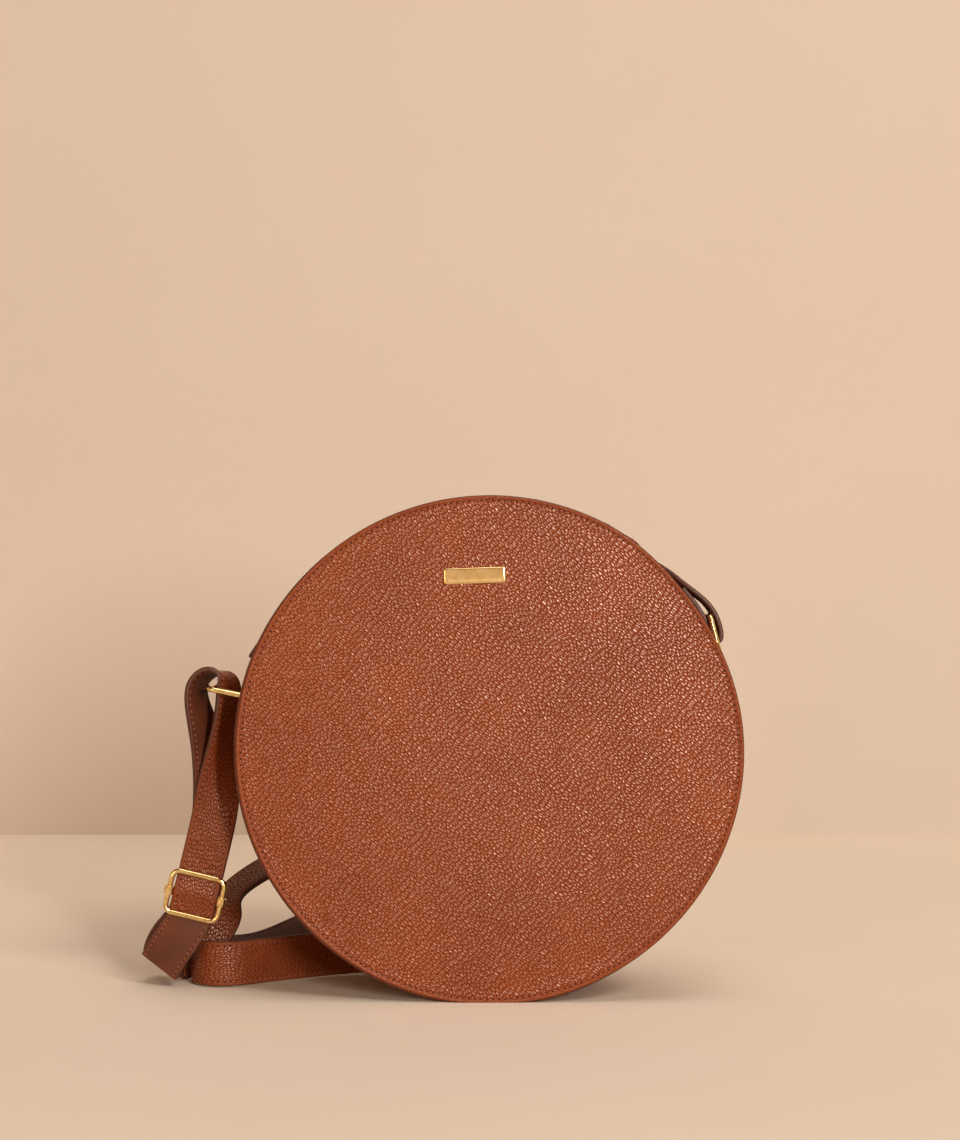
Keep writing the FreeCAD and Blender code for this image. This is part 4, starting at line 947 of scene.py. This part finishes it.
tail, low, high = strap_piece("strap_tail_leather", 0, TAIL_END, "strap_tail", "bag", faced=True)
tail_thread = strap_thread("strap_tail_thread", low, high, "bag")
run, run_low, run_high = strap_piece("strap_run_leather", RUN_START, RUN_END, "strap_run", "bag")
run_thread = strap_thread("strap_run_thread", run_low, run_high, "bag")
left_loop, low, high = strap_piece("strap_loop_left_leather", TAIL_END, RUN_START, "strap_loop_left", None)
left_thread = strap_thread("strap_loop_left_thread", low, high, None)
for part in (left_loop, left_thread):
    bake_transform(part)
right_loop, low, high = strap_piece("strap_loop_right_leather", RUN_END, SPANS, "strap_loop_right", None)
right_thread = strap_thread("strap_loop_right_thread", low, high, None)
for part in (right_loop, right_thread):
    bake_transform(part)

# The adjuster: a frame of bent brass wire, brazed shut, and a centre bar whose eyes close round its sides.
# The strap is threaded through it twice, so that the bar holds the strap by its own pull.
adjuster_parts = [dress("adjuster_frame", BRASS), dress("adjuster_bar", BRASS)]

# The plate on the front: a blank bar cast in zinc, polished and plated with pale brass, with domed edges.
# Two prongs at its back pass through the leather and are clinched over steel washers behind it.
PLATE_LONG, PLATE_WIDE, PLATE_CORNER = 27.0, 7.0, 1.2
PLATE_TURN = math.radians(2.0)
PLATE_RADIUS, PLATE_ANGLE = 75.5, math.radians(95.0)
PLATE_SEAT = RIM_FACE + 1.34
PRONG_APART, PRONG_SIZE, PRONG_LONG, PRONG_SIDES = 18.0, 1.5, 2.5, 12
PLATE_RINGS = [(0.3, -0.02, 0), (0.0, 0.1, 0), (0.0, 0.55, 0), (0.10, 0.80, 0), (0.32, 0.98, 0),
               (0.7, 1.08, 0), (1.3, 1.14, 0), (2.1, 1.18, 0), (3.0, 1.20, 0)]
prongs, prong_faces = [], []
for side in (-1, 1):
    first = len(prongs)
    for depth in (0.0, -PRONG_LONG):
        for turn in np.linspace(0, 2 * math.pi, PRONG_SIDES, endpoint=False):
            prongs.append((side * PRONG_APART / 2 + PRONG_SIZE / 2 * math.cos(turn),
                           PRONG_SIZE / 2 * math.sin(turn), depth))
    sides = tube_faces(2, PRONG_SIDES, capped=False) + [tuple(range(PRONG_SIDES, 2 * PRONG_SIDES))]
    prong_faces += [tuple(first + index for index in corners[::-1]) for corners in sides]
plate_mid = HUB + PLATE_RADIUS * outward_at(PLATE_ANGLE) - REARWARD * PLATE_SEAT
oblong("plate_bar", PLATE_LONG, PLATE_WIDE, PLATE_CORNER, PLATE_RINGS, plate_mid,
       [outward_at(PLATE_TURN), round_at(PLATE_TURN), -REARWARD], [POLISH],
       extra=(np.array(prongs), prong_faces), stands_for=["blank_plate"], slot="polished_brass")


def plain_steel():
    """Stamped steel, left as rolled: grey and slightly streaked."""
    material, tree, shader = finish("stamped_steel", Metallic=1.0, Roughness=0.45)
    where = add(tree, "TexCoord").outputs["Object"]
    streak = add(tree, "TexNoise", {"Vector": where, "Scale": every(2.0), "Detail": 4.0})
    rolled = add(tree, "ValToRGB", {"Fac": streak}, [(0.3, "#7C7C7C"), (0.7, "#A6A6A6")])
    join(tree, shader, {"Base Color": rolled})
    return material


dress("plate_washers", plain_steel())

# The studio: a cream floor and wall that fade out into a cream room; the wall has no back, so that the bag
# can be looked at from every side. A tall strip light and a softbox stand at the front right, with a large
# softbox overhead and a warm fill at the left.


def painted_set(name, colour, deep, fade_mm, one_sided):
    """Matt emulsion on board, faintly uneven, ending softly."""
    material, tree, shader = finish(name, IOR=1.4, Roughness=0.85, Specular_IOR_Level=0.2)
    where = add(tree, "TexCoord").outputs["Object"]
    cloud = add(tree, "TexNoise", {"Vector": where, "Scale": every(250.0), "Detail": 2.0})
    paint = add(tree, "ValToRGB", {"Fac": cloud}, [(0.2, deep), (0.8, colour)])
    join(tree, shader, {"Base Color": paint})
    away = add(tree, "VectorMath", {0: where}, operation="LENGTH").outputs["Value"]
    near, far = fade_mm
    fade = add(tree, "MapRange", {"Value": away, "From Min": near * MM, "From Max": far * MM},
               interpolation_type="SMOOTHSTEP")
    if one_sided:
        behind = add(tree, "NewGeometry").outputs["Backfacing"]
        fade = add(tree, "Math", {0: fade, 1: behind}, operation="MAXIMUM")
    either = add(tree, "MixShader", {0: fade, 1: shader, 2: add(tree, "BsdfTransparent")})
    join(tree, tree.nodes["Material Output"], {"Surface": either})
    return material


WALL_Y = 632.0
FAR = 3000.0
FLOOR_Z = -0.05
for name, corners, colour, deep, fade_mm in (
        ("floor", [(-FAR, -FAR, FLOOR_Z), (FAR, -FAR, FLOOR_Z), (FAR, FAR, FLOOR_Z), (-FAR, FAR, FLOOR_Z)],
         "#E7D6C3", "#E4D2BE", (1000.0, 2600.0)),
        ("wall", [(-FAR, WALL_Y, FLOOR_Z), (FAR, WALL_Y, FLOOR_Z), (FAR, WALL_Y, FAR), (-FAR, WALL_Y, FAR)],
         "#D0BFB0", "#CDBBAB", (1000.0, 1800.0))):
    emulsion = painted_set(name + "_emulsion", colour, deep, fade_mm, name == "wall")
    build(name, corners, [(0, 1, 2, 3)], [emulsion], body=None)


def softbox(name, place, aim, size, power, colour):
    """A rectangular light of a size in metres and a power in watts, turned to a point."""
    lamp = bpy.data.lights.new(name, "AREA")
    lamp.shape = "RECTANGLE"
    lamp.size, lamp.size_y = size
    lamp.energy = power
    lamp.color = tone(colour)[:3]
    holder = bpy.data.objects.new(name, lamp)
    holder.location = place
    holder.rotation_euler = (Vector(aim) - Vector(place)).to_track_quat("-Z", "Y").to_euler()
    bpy.context.scene.collection.objects.link(holder)


softbox("strip", (0.95, -2.81, 0.70), (0.0, 0.1, 0.11), (0.22, 0.9), 56.0, "#FFF9F0")
softbox("key", (2.75, -3.9, 3.9), (0.0, 0.0, 0.1), (1.4, 1.4), 140.0, "#FFF8EE")
softbox("overhead", (0.4, -0.5, 2.6), (0.0, 0.2, 0.0), (1.6, 1.6), 25.0, "#FFFAF5")
softbox("fill", (-1.3, -2.5, 0.5), (0.0, 0.0, 0.1), (0.25, 1.0), 13.0, "#FFD0A2")
world = bpy.data.worlds.new("room")
world.use_nodes = True
room = world.node_tree
high_up = add(room, "SeparateXYZ", {0: add(room, "TexCoord").outputs["Generated"]}).outputs["Z"]
glow = add(room, "MapRange", {"Value": high_up, "From Max": 0.9, "To Min": 0.04, "To Max": 0.12})
dim = room.nodes["Background"]
join(room, dim, {"Color": tone("#FFD9B4"), "Strength": glow})
ceiling = add(room, "MapRange", {"Value": high_up, "From Min": 0.25, "From Max": 0.75, "To Min": 1.0,
                                 "To Max": 0.25})
cream = add(room, "Background", {"Color": tone("#E2C3A7"), "Strength": ceiling})
ray = add(room, "LightPath").outputs
direct = add(room, "Math", {0: ray["Is Camera Ray"], 1: ray["Is Glossy Ray"]}, operation="MAXIMUM")
seen = add(room, "Math", {0: direct, 1: ray["Is Transmission Ray"]}, operation="MAXIMUM")
shown = add(room, "MixShader", {0: seen, 1: dim, 2: cream})
join(room, room.nodes["World Output"], {"Surface": shown})
bpy.context.scene.world = world
bpy.context.scene.view_settings.view_transform = "Standard"

# The camera: level, a little to the left of the bag's middle and above it, on a long lens.
# Its place and lens were fitted to the photograph.
lens = bpy.data.cameras.new("camera")
lens.sensor_fit = "VERTICAL"
lens.sensor_height = 36.0
lens.lens = 76.86
lens.clip_end = 20.0
camera = bpy.data.objects.new("camera", lens)
camera.location = (-0.00431, -1.085, 0.18665)
camera.rotation_euler = (math.pi / 2, 0.0, 0.0)
bpy.context.scene.collection.objects.link(camera)
bpy.context.scene.camera = camera
